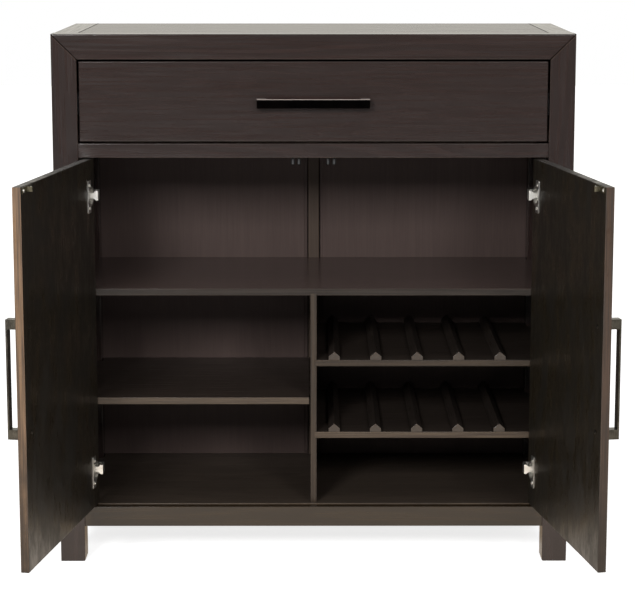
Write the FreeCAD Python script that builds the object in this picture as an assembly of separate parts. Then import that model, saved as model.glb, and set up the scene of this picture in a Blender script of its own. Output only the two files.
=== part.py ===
import FreeCAD, Part
import math
import os

# A free-standing bar cabinet in dark stained wood. One wide drawer sits over two doors, and behind the doors
# are a full-width shelf, an adjustable shelf on the left and two bottle shelves on the right.
# Lengths are millimetres. X runs across the front, Y from the front face towards the back, Z up.
# The origin is on the floor, on the centre plane, in the plane of the case's front face.
# The doors are modelled standing open and the drawer shut.

# Frame of posts and rails
width = 1016.0
depth = 419.0
post = 49.0
foot_height = 73.0
bottom_rail_height = 40.0
door_opening_height = 703.5
drawer_rail_height = 27.0
drawer_opening_height = 164.0
top_rail_height = 48.5
bottom_rail_thickness = 30.0
back_rail_thickness = 24.0
side_rail_thickness = 22.0
side_rail_setback = 3.0
frame_edge_round = 2.0
foot_chamfer = 2.0
tenon_length = 20.0
tenon_thickness = 10.0
tenon_shoulder = 9.0
drawer_rail_shoulder = 5.0
mortise_spare = 1.0

# Panels
side_panel_thickness = 15.0
side_panel_setback = 5.0
panel_groove = 8.0
top_panel_thickness = 16.0
top_tongue_length = 6.0
top_tongue_thickness = 6.0
back_panel_thickness = 6.0
back_panel_setback = 5.0
back_stile_width = 26.5
back_stile_thickness = 15.0
back_bead_width = 6.0
back_bead_depth = 2.5

# Boards inside, with their top faces given as heights above the floor
board_thickness = 14.0
board_setback = 24.5
board_edge_round = 1.0
bottom_board_step = 2.0
bottom_board_setback = 18.0
dado_depth = 4.0
post_notch_gap = 1.0
middle_shelf_top = 552.5
adjustable_shelf_top = 331.5
adjustable_gap = 3.0
upper_bottle_shelf_top = 408.0
lower_bottle_shelf_top = 261.0
bottle_shelf_thickness = 13.0
divider_thickness = 12.0
shelf_pin_radius = 2.5
shelf_pin_seat = 9.0
shelf_pin_inset = 42.0

# Bottle rails: ridged strips on each bottle shelf, running front to back
bottle_rail_count = 5
bottle_rail_width = 22.5
bottle_rail_height = 16.5
bottle_rail_wall = 7.0
bottle_rail_pitch = 82.6
first_bottle_rail = 41.4

# Doors
door_thickness = 16.0
door_gap = 3.0
door_edge_round = 1.2
door_open_angle = 100.0

# Drawer
drawer_front_thickness = 18.0
drawer_gap = 4.5
drawer_edge_round = 1.2
drawer_side_thickness = 12.0
drawer_side_height = 118.0
drawer_side_lift = 7.0
drawer_back_gap = 31.0
drawer_back_height = 98.0
drawer_floor_thickness = 6.0
drawer_floor_raise = 10.0
drawer_groove = 6.0
dovetail_count = 4
dovetail_length = 11.0
dovetail_flare = 2.0
dovetail_root_share = 0.5

# Handles: flat bars on two square feet, three alike
handle_length = 219.0
handle_width = 18.0
handle_bar_thickness = 3.4
handle_reach = 25.5
handle_foot_length = 18.0
handle_screw_spacing = 192.0
handle_edge_round = 0.8
handle_from_door_edge = 30.0
drawer_handle_drop = 2.5

# Drawer slides: three steel members on each side, places measured from the post's inner face
slide_back_gap = 19.0
slide_width = 12.7
slide_height = 45.0
slide_steel = 1.2
slide_setback = 20.0
slide_centre_drop = 88.0
slide_outer_depth = 11.0
slide_lip = 3.0
slide_middle_height = 35.0
slide_middle_start = 4.3
slide_middle_depth = 6.8
slide_inner_height = 25.6
slide_inner_depth = 6.4
slide_screw_inset = 15.0
inner_screw_inset = 30.0

# Concealed hinges: four alike, places measured from the post's inner face and the case's front face
hinge_from_door_end = 72.5
pin_from_post = 17.0
pin_from_front = 7.0
pin_radius = 1.2
pin_end_gap = 0.5
running_gap = 0.05
knuckle_radius = 2.5
cup_radius = 17.5
cup_from_door_edge = 24.0
cup_depth = 13.0
cup_wall = 2.4
cup_floor = 1.0
cup_rim = 2.0
flange_thickness = 1.3
flange_height = 64.0
flange_width = 19.0
flange_offset = 10.0
flange_corner = 3.0
cup_screw_spacing = 45.0
arm_steel = 1.5
arm_shank_height = 11.0
arm_height = 19.0
arm_reach = 38.0
arm_shank_low = 2.2
arm_shank_band = 3.8
arm_band = 6.5
arm_back = 31.0
arm_end = 46.0
arm_flare_length = 6.0
arm_bend_round = 2.0
plate_thickness = 4.0
plate_length = 23.0
plate_height = 19.0
plate_end = 47.0
wing_thickness = 2.2
wing_length = 13.0
wing_height = 56.0
wing_corner = 4.0
wing_screw_spacing = 38.0

# Roller catches under the drawer rail, and their strikes on the doors
catch_from_centre = 34.5
catch_from_front = 22.0
roller_spacing = 12.0
roller_radius = 3.5
roller_height = 11.0
roller_drop = 4.5
roller_pin_radius = 1.1
roller_end_gap = 0.5
roller_collar_radius = 2.2
roller_pin_head_height = 1.6
catch_plate_width = 24.0
catch_plate_length = 26.0
catch_plate_front = 4.0
catch_plate_thickness = 1.6
catch_plate_corner = 2.0
catch_screw_spacing = 12.0
catch_screw_behind = 14.0
strike_plate_length = 54.0
strike_plate_height = 12.0
strike_plate_thickness = 1.4
strike_plate_corner = 2.0
strike_spear_reach = 11.0
strike_spear_thickness = 3.4
strike_spear_height = 9.0
strike_spear_point = 3.0
strike_screw_spacing = 42.0

# Screws
screw_head_radius = 3.2
screw_head_height = 1.7
screw_shank_radius = 1.6
screw_bite = 12.0
short_screw_bite = 8.0
handle_screw_head_radius = 4.0
handle_screw_head_height = 2.4
handle_screw_shank_radius = 2.0
handle_screw_bite = 12.0
screw_crown_share = 0.7
shank_sides = 8
head_sides = 16

# One overrun serves every cut, and places closer than this count as the same
overrun = 1.0
same_place = 0.01

# Heights and places that follow
half_width = width / 2
opening_half = half_width - post
opening_bottom = foot_height + bottom_rail_height
opening_top = opening_bottom + door_opening_height
drawer_opening_bottom = opening_top + drawer_rail_height
drawer_opening_top = drawer_opening_bottom + drawer_opening_height
height = drawer_opening_top + top_rail_height
rear_post_front = depth - post
side_panel_outside = half_width - side_panel_setback
side_panel_inside = side_panel_outside - side_panel_thickness
panel_bottom = opening_bottom - panel_groove
panel_top = drawer_opening_top + panel_groove
back_rail_front = depth - back_rail_thickness
back_panel_back = depth - back_panel_setback
back_panel_front = back_panel_back - back_panel_thickness
back_stile_front = depth - back_stile_thickness
bottom_board_top = opening_bottom + bottom_board_step
bottom_board_underside = bottom_board_top - board_thickness
middle_shelf_underside = middle_shelf_top - board_thickness
shelf_reach = side_panel_inside + dado_depth
door_width = opening_half - door_gap * 3 / 2
door_bottom = opening_bottom + door_gap
door_top = opening_top - door_gap
hinge_heights = [door_bottom + hinge_from_door_end, door_top - hinge_from_door_end]
cup_from_post = door_gap + cup_from_door_edge
drawer_box_half = opening_half - slide_width
drawer_side_bottom = drawer_opening_bottom + drawer_side_lift
drawer_back = depth - drawer_back_gap
drawer_floor_underside = drawer_side_bottom + drawer_floor_raise
drawer_floor_top = drawer_floor_underside + drawer_floor_thickness
slide_back = depth - slide_back_gap
slide_middle_line = drawer_opening_top - slide_centre_drop
catch_plate_underside = opening_top - catch_plate_thickness
roller_top = opening_top - roller_drop
roller_bottom = roller_top - roller_height
strike_middle = (roller_top + roller_bottom) / 2


def vec(x=0, y=0, z=0):
    return FreeCAD.Vector(x, y, z)


ALONG_X = vec(1)
ALONG_Y = vec(0, 1)
ALONG_Z = vec(0, 0, 1)


def block(x0, x1, y0, y1, z0, z1):
    """A square-edged box between two corners."""
    return Part.makeBox(x1 - x0, y1 - y0, z1 - z0, vec(x0, y0, z0))


def prism(points, sweep):
    """A flat outline, given by its corners, drawn out along a vector."""
    return Part.Face(Part.makePolygon(points + points[:1])).extrude(sweep)


def mirrored(shape):
    """The same piece on the other side of the centre plane."""
    return shape.mirror(vec(), ALONG_X)


def with_mirrored(shapes):
    return shapes + [mirrored(s) for s in shapes]


def one_solid(first, others):
    return first.fuse(others).removeSplitter()


def edges_at(shape, **places):
    """Straight edges whose two ends both lie at the given x, y or z."""
    def lies(edge):
        ends = [v.Point for v in edge.Vertexes]
        return all(abs(getattr(p, axis) - value) < same_place for p in ends for axis, value in places.items())
    return [e for e in shape.Edges if lies(e)]


# Screws: a head with a narrowed crown on a shank, both many-sided, which is enough at their size

def many_sided(middle, inwards, radius, sides):
    """A closed outline round a place, facing along a screw."""
    across = ALONG_X if abs(inwards.z) > 1 / 2 else ALONG_Z
    beside = inwards.cross(across)
    corners = []
    for number in range(sides):
        angle = 2 * math.pi * number / sides
        corners.append(middle + across * (radius * math.cos(angle)) + beside * (radius * math.sin(angle)))
    return corners


def shank(start, inwards, length, radius):
    return prism(many_sided(start, inwards, radius, shank_sides), inwards * length)


def screw(seat, inwards, bite, radius=screw_shank_radius, head=screw_head_radius, crown=screw_head_height):
    """The head's underside is at the seat and the shank runs on inwards by the bite."""
    below = many_sided(seat, inwards, head, head_sides)
    above = many_sided(seat - inwards * crown, inwards, head * screw_crown_share, head_sides)
    top = Part.makeLoft([Part.makePolygon(ring + ring[:1]) for ring in (below, above)], True, True)
    return one_solid(top, [shank(seat, inwards, bite, radius)])


def screw_hole(seat, inwards, bite, radius=screw_shank_radius):
    """The space of the shank, carried out past the seat."""
    return shank(seat - inwards * overrun, inwards, bite + overrun, radius)


def handle_screws(seats, inwards, board):
    bite = board + handle_screw_bite
    size = [handle_screw_shank_radius, handle_screw_head_radius, handle_screw_head_height]
    return [screw(s, inwards, bite, *size) for s in seats]


def handle_screw_holes(seats, inwards, board):
    bite = board + handle_screw_bite
    return [screw_hole(s, inwards, bite, handle_screw_shank_radius) for s in seats]


# Places of the case's screws on the left-hand side, at the undersides of their heads

def slide_screw_seats():
    ends = (slide_setback + slide_screw_inset, slide_back - slide_screw_inset)
    return [vec(slide_steel - opening_half, y, slide_middle_line) for y in ends]


def plate_screw_seats():
    y = plate_end - wing_length / 2
    ends = (-wing_screw_spacing / 2, wing_screw_spacing / 2)
    return [vec(wing_thickness - opening_half, y, z + up) for z in hinge_heights for up in ends]


def catch_screw_seats():
    y = catch_from_front + catch_screw_behind
    ends = (-catch_screw_spacing / 2, catch_screw_spacing / 2)
    return [vec(x - catch_from_centre, y, catch_plate_underside) for x in ends]


def case_screws():
    left = [screw(s, ALONG_X * -1, short_screw_bite) for s in slide_screw_seats()]
    left += [screw(s, ALONG_X * -1, screw_bite) for s in plate_screw_seats()]
    left += [screw(s, ALONG_Z, screw_bite) for s in catch_screw_seats()]
    return Part.makeCompound(with_mirrored(left))


# Tenons, each with a spare of zero, and their mortises, a little deeper

def cross_tenon(low, high, y, shoulder, spare=0):
    """Left tenon of a rail that runs across the case."""
    x0 = -opening_half - tenon_length - spare
    half = tenon_thickness / 2
    return block(x0, -opening_half, y - half, y + half, low + shoulder, high - shoulder)


def bottom_rail_tenon(spare=0):
    return cross_tenon(foot_height, opening_bottom, bottom_board_setback / 2, tenon_shoulder, spare)


def drawer_rail_tenon(spare=0):
    return cross_tenon(opening_top, drawer_opening_bottom, post / 2, drawer_rail_shoulder, spare)


def back_bottom_tenon(spare=0):
    y = depth - back_rail_thickness / 2
    return cross_tenon(foot_height, opening_bottom, y, tenon_shoulder, spare)


def back_top_tenon(spare=0):
    y = depth - back_rail_thickness / 2
    return cross_tenon(drawer_opening_top, height - top_panel_thickness, y, tenon_shoulder, spare)


def side_rail_tenons(spare=0):
    """Front and rear tenons of the left side rail, as one bar that also runs through the rail."""
    x = side_rail_setback + side_rail_thickness / 2 - half_width
    half = tenon_thickness / 2
    y0 = post - tenon_length - spare
    y1 = rear_post_front + tenon_length + spare
    return block(x - half, x + half, y0, y1, foot_height + tenon_shoulder, opening_bottom - tenon_shoulder)


# Frame

def side_panel_space():
    """The plain space of the left side panel, with the edges that enter the posts and rails."""
    y0 = post - panel_groove
    y1 = rear_post_front + panel_groove
    return block(-side_panel_outside, -side_panel_inside, y0, y1, panel_bottom, panel_top)


def top_panel_tongue():
    """Tongue along the front and both sides of the top panel."""
    reach = opening_half + top_tongue_length
    z0 = height - (top_panel_thickness + top_tongue_thickness) / 2
    return block(-reach, reach, post - top_tongue_length, depth, z0, z0 + top_tongue_thickness)


def front_leg():
    """Left front post, mitred at the top against the front rail."""
    leg = block(-half_width, -opening_half, 0, post, 0, height)
    leg = leg.makeFillet(frame_edge_round, edges_at(leg, x=-half_width, y=0))
    leg = leg.makeChamfer(foot_chamfer, edges_at(leg, z=0, y=post) + edges_at(leg, z=0, x=-opening_half))
    front = -overrun
    above_mitre = prism(
        [
            vec(-half_width, front, height),
            vec(-opening_half, front, drawer_opening_top),
            vec(-opening_half, front, height + overrun),
            vec(-half_width, front, height + overrun),
        ],
        ALONG_Y * (post + 2 * overrun),
    )
    holes = [above_mitre, side_panel_space(), side_rail_tenons(mortise_spare)]
    holes += [bottom_rail_tenon(mortise_spare), drawer_rail_tenon(mortise_spare)]
    holes += [screw_hole(s, ALONG_X * -1, screw_bite) for s in plate_screw_seats()]
    holes += [screw_hole(s, ALONG_X * -1, short_screw_bite) for s in slide_screw_seats()]
    return leg.cut(holes)


def rear_leg():
    """Left rear post, which ends under the side rail of the top."""
    leg = block(-half_width, -opening_half, rear_post_front, depth, 0, drawer_opening_top)
    leg = leg.makeChamfer(foot_chamfer, edges_at(leg, z=0, y=rear_post_front) + edges_at(leg, z=0, x=-opening_half))
    holes = [side_panel_space(), back_panel(), side_rail_tenons(mortise_spare), back_bottom_tenon(mortise_spare)]
    holes += [screw_hole(s, ALONG_X * -1, short_screw_bite) for s in slide_screw_seats()]
    return leg.cut(holes)


def front_top_rail():
    """Front rail of the top, mitred down into both front posts and grooved for the top panel."""
    rail = prism(
        [
            vec(-half_width, 0, height),
            vec(half_width, 0, height),
            vec(opening_half, 0, drawer_opening_top),
            vec(-opening_half, 0, drawer_opening_top),
        ],
        ALONG_Y * post,
    )
    rail = rail.makeFillet(frame_edge_round, edges_at(rail, y=0, z=height))
    return rail.cut(top_panel_tongue())


def side_top_rail():
    """Left side rail of the top, from the front rail to the back, over the rear post."""
    rail = block(-half_width, -opening_half, post, depth, drawer_opening_top, height)
    rail = rail.makeFillet(frame_edge_round, edges_at(rail, x=-half_width, z=height))
    return rail.cut([top_panel_tongue(), side_panel_space(), back_panel(), back_top_tenon(mortise_spare)])


def top_panel():
    panel = block(-opening_half, opening_half, post, depth, height - top_panel_thickness, height)
    return one_solid(panel, [top_panel_tongue()])


def back_top_rail():
    """Rail under the back of the top, grooved below for the back panels."""
    low = drawer_opening_top
    rail = block(-opening_half, opening_half, back_rail_front, depth, low, height - top_panel_thickness)
    rail = one_solid(rail, with_mirrored([back_top_tenon()]))
    return rail.cut(with_mirrored([back_panel()]) + [back_stile()])


def back_bottom_rail():
    """Rail across the back, grooved for the back panels and rebated for the bottom board."""
    rail = block(-opening_half, opening_half, back_rail_front, depth, foot_height, opening_bottom)
    rail = one_solid(rail, with_mirrored([back_bottom_tenon()]))
    return rail.cut(with_mirrored([back_panel()]) + [back_stile(), plain_bottom_board()])


def drawer_rail():
    """Rail between the drawer and the doors."""
    rail = block(-opening_half, opening_half, 0, post, opening_top, drawer_opening_bottom)
    rail = rail.makeFillet(board_edge_round, edges_at(rail, y=0, z=drawer_opening_bottom))
    rail = one_solid(rail, with_mirrored([drawer_rail_tenon()]))
    return rail.cut(with_mirrored([screw_hole(s, ALONG_Z, screw_bite) for s in catch_screw_seats()]))


def bottom_rail():
    """Front rail under the doors, rebated behind for the bottom board."""
    rail = block(-opening_half, opening_half, 0, bottom_rail_thickness, foot_height, opening_bottom)
    rail = rail.makeFillet(board_edge_round, edges_at(rail, y=0, z=opening_bottom))
    rail = one_solid(rail, with_mirrored([bottom_rail_tenon()]))
    end = opening_half
    back = bottom_rail_thickness + overrun
    rebate = block(-end, end, bottom_board_setback, back, bottom_board_underside, opening_bottom + overrun)
    return rail.cut(rebate)


def side_bottom_rail():
    """Left rail under the side panel."""
    x0 = side_rail_setback - half_width
    rail = block(x0, x0 + side_rail_thickness, post, rear_post_front, foot_height, opening_bottom)
    return one_solid(rail, [side_rail_tenons()]).cut(side_panel_space())


def left_side_panel():
    """Panel let into posts and rails, with a dado for the middle shelf and holes for shelf pins."""
    return side_panel_space().cut([middle_shelf()] + [pin_hole(p, ALONG_X * -1) for p in side_pin_mouths()])


def right_side_panel():
    """Panel with dados for the middle shelf and both bottle shelves."""
    shelves = [middle_shelf(), bottle_shelf(upper_bottle_shelf_top), bottle_shelf(lower_bottle_shelf_top)]
    return mirrored(side_panel_space()).cut(shelves)


# Back

def back_stile():
    """The plain space of the upright in the middle of the back."""
    half = back_stile_width / 2
    return block(-half, half, back_stile_front, depth, panel_bottom, panel_top)


def back_centre_stile():
    """Middle upright of the back, grooved for both back panels."""
    return back_stile().cut(with_mirrored([back_panel()]))


def back_panel():
    """Left back panel, with a shadow bead cut beside the middle upright."""
    x0 = -opening_half - panel_groove
    stile_side = -back_stile_width / 2
    x1 = stile_side + dado_depth
    panel = block(x0, x1, back_panel_front, back_panel_back, panel_bottom, panel_top)
    y0 = back_panel_front - overrun
    y1 = back_panel_front + back_bead_depth
    bead = block(stile_side - back_bead_width, x1 + overrun, y0, y1, panel_bottom - overrun, panel_top + overrun)
    return panel.cut(bead)


# Boards inside

def notched_board(x0, x1, front, back, top, thickness, gap=post_notch_gap):
    """A board with an eased front edge, cut out round each post that it meets."""
    board = block(x0, x1, front, back, top - thickness, top)
    front_edges = edges_at(board, y=front, z=top) + edges_at(board, y=front, z=top - thickness)
    board = board.makeFillet(board_edge_round, front_edges)
    inner = opening_half - gap
    front_post = block(inner, half_width, 0, post + gap, top - thickness - overrun, top + overrun)
    rear_post = block(inner, half_width, rear_post_front - gap, depth, top - thickness - overrun, top + overrun)
    return board.cut(with_mirrored([front_post, rear_post]))


def plain_bottom_board():
    reach = half_width - side_rail_setback - side_rail_thickness
    return notched_board(-reach, reach, bottom_board_setback, back_panel_front, bottom_board_top, board_thickness)


def bottom_board():
    """Floor of the case, a little higher than the front rail, with a dado for the divider."""
    return plain_bottom_board().cut([back_stile(), divider_board()])


def middle_shelf():
    """Full-width shelf, let into both side panels and over the divider."""
    board = notched_board(
        -shelf_reach, shelf_reach, board_setback, back_panel_front, middle_shelf_top, board_thickness
    )
    return board.cut([back_stile(), divider_board()])


def divider_board():
    """The plain divider, with the two edges that enter the bottom board and the middle shelf."""
    half = divider_thickness / 2
    z0 = bottom_board_top - dado_depth
    z1 = middle_shelf_underside + dado_depth
    return block(-half, half, board_setback, back_stile_front, z0, z1)


def centre_divider():
    """Upright between the lower bays, with pin holes on the left and dados on the right."""
    holes = [pin_hole(p, ALONG_X) for p in divider_pin_mouths()]
    return divider_board().cut(holes + [bottle_shelf(upper_bottle_shelf_top), bottle_shelf(lower_bottle_shelf_top)])


def bottle_shelf(top):
    """Fixed shelf in the right bay, let into the divider and the side panel."""
    x0 = divider_thickness / 2 - dado_depth
    board = notched_board(x0, shelf_reach, board_setback, back_panel_front, top, bottle_shelf_thickness)
    return board.cut(back_stile())


def bottle_rails(top):
    """Strips with a ridge, which keep lying bottles from rolling."""
    half = bottle_rail_width / 2
    run = ALONG_Y * (back_panel_front - board_setback)
    rails = []
    for number in range(bottle_rail_count):
        x = first_bottle_rail + number * bottle_rail_pitch
        outline = [
            vec(x - half, board_setback, top),
            vec(x + half, board_setback, top),
            vec(x + half, board_setback, top + bottle_rail_wall),
            vec(x, board_setback, top + bottle_rail_height),
            vec(x - half, board_setback, top + bottle_rail_wall),
        ]
        rails.append(prism(outline, run))
    return Part.makeCompound(rails)


def adjustable_shelf():
    """Loose shelf in the left bay, lying on four pins."""
    x0 = adjustable_gap - side_panel_inside
    x1 = -divider_thickness / 2 - adjustable_gap
    back = back_stile_front - adjustable_gap
    return notched_board(x0, x1, board_setback, back, adjustable_shelf_top, board_thickness, adjustable_gap)


def pin_mouths(x):
    """Where the shelf pins stand out of an upright, under the adjustable shelf."""
    z = adjustable_shelf_top - board_thickness - shelf_pin_radius
    return [vec(x, y, z) for y in (post + shelf_pin_inset, rear_post_front - shelf_pin_inset)]


def side_pin_mouths():
    return pin_mouths(-side_panel_inside)


def divider_pin_mouths():
    return pin_mouths(-divider_thickness / 2)


def pin_hole(mouth, inwards):
    return Part.makeCylinder(shelf_pin_radius, shelf_pin_seat + overrun, mouth - inwards * overrun, inwards)


def shelf_pin(mouth, inwards):
    """A pin that stands out of its hole as far as it goes in."""
    return Part.makeCylinder(shelf_pin_radius, 2 * shelf_pin_seat, mouth - inwards * shelf_pin_seat, inwards)


def shelf_pins():
    pins = [shelf_pin(p, ALONG_X * -1) for p in side_pin_mouths()]
    return Part.makeCompound(pins + [shelf_pin(p, ALONG_X) for p in divider_pin_mouths()])


# Handles, first made upright on a board whose face is the plane Y = 0, with the middle at the origin

def handle_screw_points():
    return [vec(0, 0, -handle_screw_spacing / 2), vec(0, 0, handle_screw_spacing / 2)]


def handle():
    """Flat bar on two square feet, holed for a screw in each foot."""
    half = handle_length / 2
    side = handle_width / 2
    inside = handle_bar_thickness - handle_reach
    bar = block(-side, side, -handle_reach, inside, -half, half)
    feet = [
        block(-side, side, inside, 0, -half, handle_foot_length - half),
        block(-side, side, inside, 0, half - handle_foot_length, half),
    ]
    pull = one_solid(bar, feet)
    front = edges_at(pull, y=-handle_reach)
    pull = pull.makeFillet(handle_edge_round, front)
    return pull.cut(handle_screw_holes(handle_screw_points(), ALONG_Y * -1, 0))


def placed(shape, place, turn=0):
    """A copy moved to a place, after a turn about Y through the origin."""
    copy = shape.copy()
    copy.rotate(vec(), ALONG_Y, turn)
    copy.translate(place)
    return copy


# Drawer

def drawer_front_board():
    half = opening_half - drawer_gap
    board = block(
        -half, half, 0, drawer_front_thickness, drawer_opening_bottom + drawer_gap, drawer_opening_top - drawer_gap
    )
    return board.makeFillet(drawer_edge_round, edges_at(board, y=0))


def drawer_handle_place():
    return vec(0, 0, (drawer_opening_bottom + drawer_opening_top) / 2 - drawer_handle_drop)


def drawer_handle_screw_seats():
    return [placed(Part.Vertex(p), drawer_handle_place(), 90).Point for p in handle_screw_points()]


def dovetails():
    """Tails at the front end of the left drawer side, widest at their tips."""
    x0 = -drawer_box_half
    pitch = drawer_side_height / dovetail_count
    root = pitch * dovetail_root_share / 2
    y0 = drawer_front_thickness - dovetail_length
    tails = []
    for number in range(dovetail_count):
        z = drawer_side_bottom + pitch * (number + 1 / 2)
        outline = [
            vec(x0, y0, z - root - dovetail_flare),
            vec(x0, y0, z + root + dovetail_flare),
            vec(x0, drawer_front_thickness, z + root),
            vec(x0, drawer_front_thickness, z - root),
        ]
        tails.append(prism(outline, ALONG_X * drawer_side_thickness))
    return tails


def drawer_side():
    """Left drawer side, dovetailed to the front, grooved for the floor and the back."""
    x0 = -drawer_box_half
    x1 = x0 + drawer_side_thickness
    z1 = drawer_side_bottom + drawer_side_height
    side = block(x0, x1, drawer_front_thickness, drawer_back, drawer_side_bottom, z1)
    side = one_solid(side, dovetails())
    holes = [screw_hole(s, ALONG_X, short_screw_bite) for s in inner_slide_screw_seats()]
    return side.cut(holes + [drawer_floor(), drawer_back_board()])


def drawer_floor():
    """Thin floor, held in grooves of the front and sides, running out under the back."""
    reach = drawer_box_half - drawer_side_thickness + drawer_groove
    y0 = drawer_front_thickness - drawer_groove
    return block(-reach, reach, y0, drawer_back, drawer_floor_underside, drawer_floor_top)


def drawer_back_board():
    reach = drawer_box_half - drawer_side_thickness + dado_depth
    y0 = drawer_back - drawer_side_thickness
    return block(-reach, reach, y0, drawer_back, drawer_floor_top, drawer_floor_top + drawer_back_height)


def drawer_front():
    """Drawer front with sockets for the dovetails, a groove for the floor and two handle holes."""
    holes = with_mirrored([drawer_side()]) + [drawer_floor()]
    holes += handle_screw_holes(drawer_screw_seats_behind(), ALONG_Y * -1, drawer_front_thickness)
    return drawer_front_board().cut(holes)


def drawer_screw_seats_behind():
    return [p + ALONG_Y * drawer_front_thickness for p in drawer_handle_screw_seats()]


# Drawer slides

def channel(x0, x1, open_towards, tall, steel):
    """A steel channel along Y between two places across, with its web on the closed side."""
    z0 = slide_middle_line - tall / 2
    z1 = slide_middle_line + tall / 2
    y0 = slide_setback
    y1 = slide_back
    outside = block(x0, x1, y0, y1, z0, z1)
    inside = block(x0, x1, y0 - overrun, y1 + overrun, z0 + steel, z1 - steel)
    inside.translate(ALONG_X * (open_towards * steel))
    return outside.cut(inside)


def slide_outer():
    """Left outer member, screwed to the posts, with lips that hold the middle member in."""
    x0 = -opening_half
    x1 = x0 + slide_outer_depth
    member = channel(x0, x1, 1, slide_height, slide_steel)
    y1 = slide_back
    top = slide_middle_line + slide_height / 2
    bottom = slide_middle_line - slide_height / 2
    drop = slide_steel + slide_lip
    lips = [
        block(x1 - slide_steel, x1, slide_setback, y1, top - drop, top),
        block(x1 - slide_steel, x1, slide_setback, y1, bottom, bottom + drop),
    ]
    return one_solid(member, lips).cut([screw_hole(s, ALONG_X * -1, short_screw_bite) for s in slide_screw_seats()])


def slide_middle():
    """Left middle member, which moves half as far as the drawer."""
    x0 = slide_middle_start - opening_half
    return channel(x0, x0 + slide_middle_depth, 1, slide_middle_height, slide_steel)


def slide_inner():
    """Left inner member, screwed to the drawer side."""
    x1 = -drawer_box_half
    member = channel(x1 - slide_inner_depth, x1, -1, slide_inner_height, slide_steel)
    return member.cut([screw_hole(s, ALONG_X, short_screw_bite) for s in inner_slide_screw_seats()])


def inner_slide_screw_seats():
    ends = (slide_setback + inner_screw_inset, slide_back - inner_screw_inset)
    return [vec(-drawer_box_half - slide_steel, y, slide_middle_line) for y in ends]


def drawer_screws():
    screws = [screw(s, ALONG_X, short_screw_bite) for s in inner_slide_screw_seats()]
    handles = handle_screws(drawer_screw_seats_behind(), ALONG_Y * -1, drawer_front_thickness)
    return Part.makeCompound(with_mirrored(screws) + handles)


# Doors, made shut and then swung open about the hinge pins

def hinge_point(x, y, z=0):
    """A place by its distances from the left post's inner face and from the front."""
    return vec(x - opening_half, y, z)


def opened(shape):
    """A copy of a piece of the left door, swung from shut to standing open."""
    turned = shape.copy()
    turned.rotate(hinge_point(pin_from_post, pin_from_front), ALONG_Z, -door_open_angle)
    return turned


def door_handle_place():
    return vec(-door_gap / 2 - handle_from_door_edge, 0, (door_bottom + door_top) / 2)


def door_handle_screw_seats():
    return [door_handle_place() + p + ALONG_Y * door_thickness for p in handle_screw_points()]


def cup_screw_seats():
    x = cup_from_post + flange_offset
    ends = (-cup_screw_spacing / 2, cup_screw_spacing / 2)
    return [hinge_point(x, door_thickness + flange_thickness, z + up) for z in hinge_heights for up in ends]


def strike_screw_seats():
    y = door_thickness + strike_plate_thickness
    ends = (-strike_screw_spacing / 2, strike_screw_spacing / 2)
    return [vec(x - catch_from_centre, y, strike_middle) for x in ends]


def door():
    """Left door: a flat slab with eased edges, bored for the hinge cups and the screws."""
    x0 = door_gap - opening_half
    slab = block(x0, x0 + door_width, 0, door_thickness, door_bottom, door_top)
    slab = slab.makeFillet(door_edge_round, edges_at(slab, y=0) + edges_at(slab, y=door_thickness))
    holes = [cup_body(z, cup_radius, door_thickness - cup_depth, door_thickness + overrun) for z in hinge_heights]
    holes += handle_screw_holes(door_handle_screw_seats(), ALONG_Y * -1, door_thickness)
    holes += [screw_hole(s, ALONG_Y * -1, short_screw_bite) for s in cup_screw_seats() + strike_screw_seats()]
    return slab.cut(holes)


def door_screws():
    screws = [screw(s, ALONG_Y * -1, short_screw_bite) for s in cup_screw_seats() + strike_screw_seats()]
    return Part.makeCompound(screws + handle_screws(door_handle_screw_seats(), ALONG_Y * -1, door_thickness))


# Hinges

def cup_body(z, radius, y0, y1):
    return Part.makeCylinder(radius, y1 - y0, hinge_point(cup_from_post, y0, z), ALONG_Y)


def hinge_cup(z):
    """Sunk cup with a rim and a screw flange, holed across for the pin."""
    floor = door_thickness - cup_depth
    face = door_thickness + flange_thickness
    shell = cup_body(z, cup_radius, floor, face)
    rim = cup_body(z, cup_radius + cup_rim, door_thickness, face)
    x = cup_from_post + flange_offset
    corner = hinge_point(x - flange_width / 2, door_thickness, z - flange_height / 2)
    ear = Part.makeBox(flange_width, flange_thickness, flange_height, corner)
    ear = ear.makeFillet(flange_corner, [e for e in ear.Edges if abs(e.tangentAt(0).y) > 1 / 2])
    cup = one_solid(shell, [rim, ear])
    hollow = cup_body(z, cup_radius - cup_wall, floor + cup_floor, face + overrun)
    holes = [screw_hole(s, ALONG_Y * -1, short_screw_bite) for s in cup_screw_seats()]
    return cup.cut([hollow, pin_bar(z, pin_radius + running_gap, overrun)] + holes)


def pin_bar(z, radius, longer=0):
    """The hinge pin, or its hole: the pin ends within the cup's round wall, where it crosses it."""
    outer_side = cup_from_post - pin_from_post + pin_radius
    half = math.sqrt(cup_radius ** 2 - outer_side ** 2) - pin_end_gap + longer
    return Part.makeCylinder(radius, 2 * half, hinge_point(pin_from_post, pin_from_front, z - half), ALONG_Z)


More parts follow.
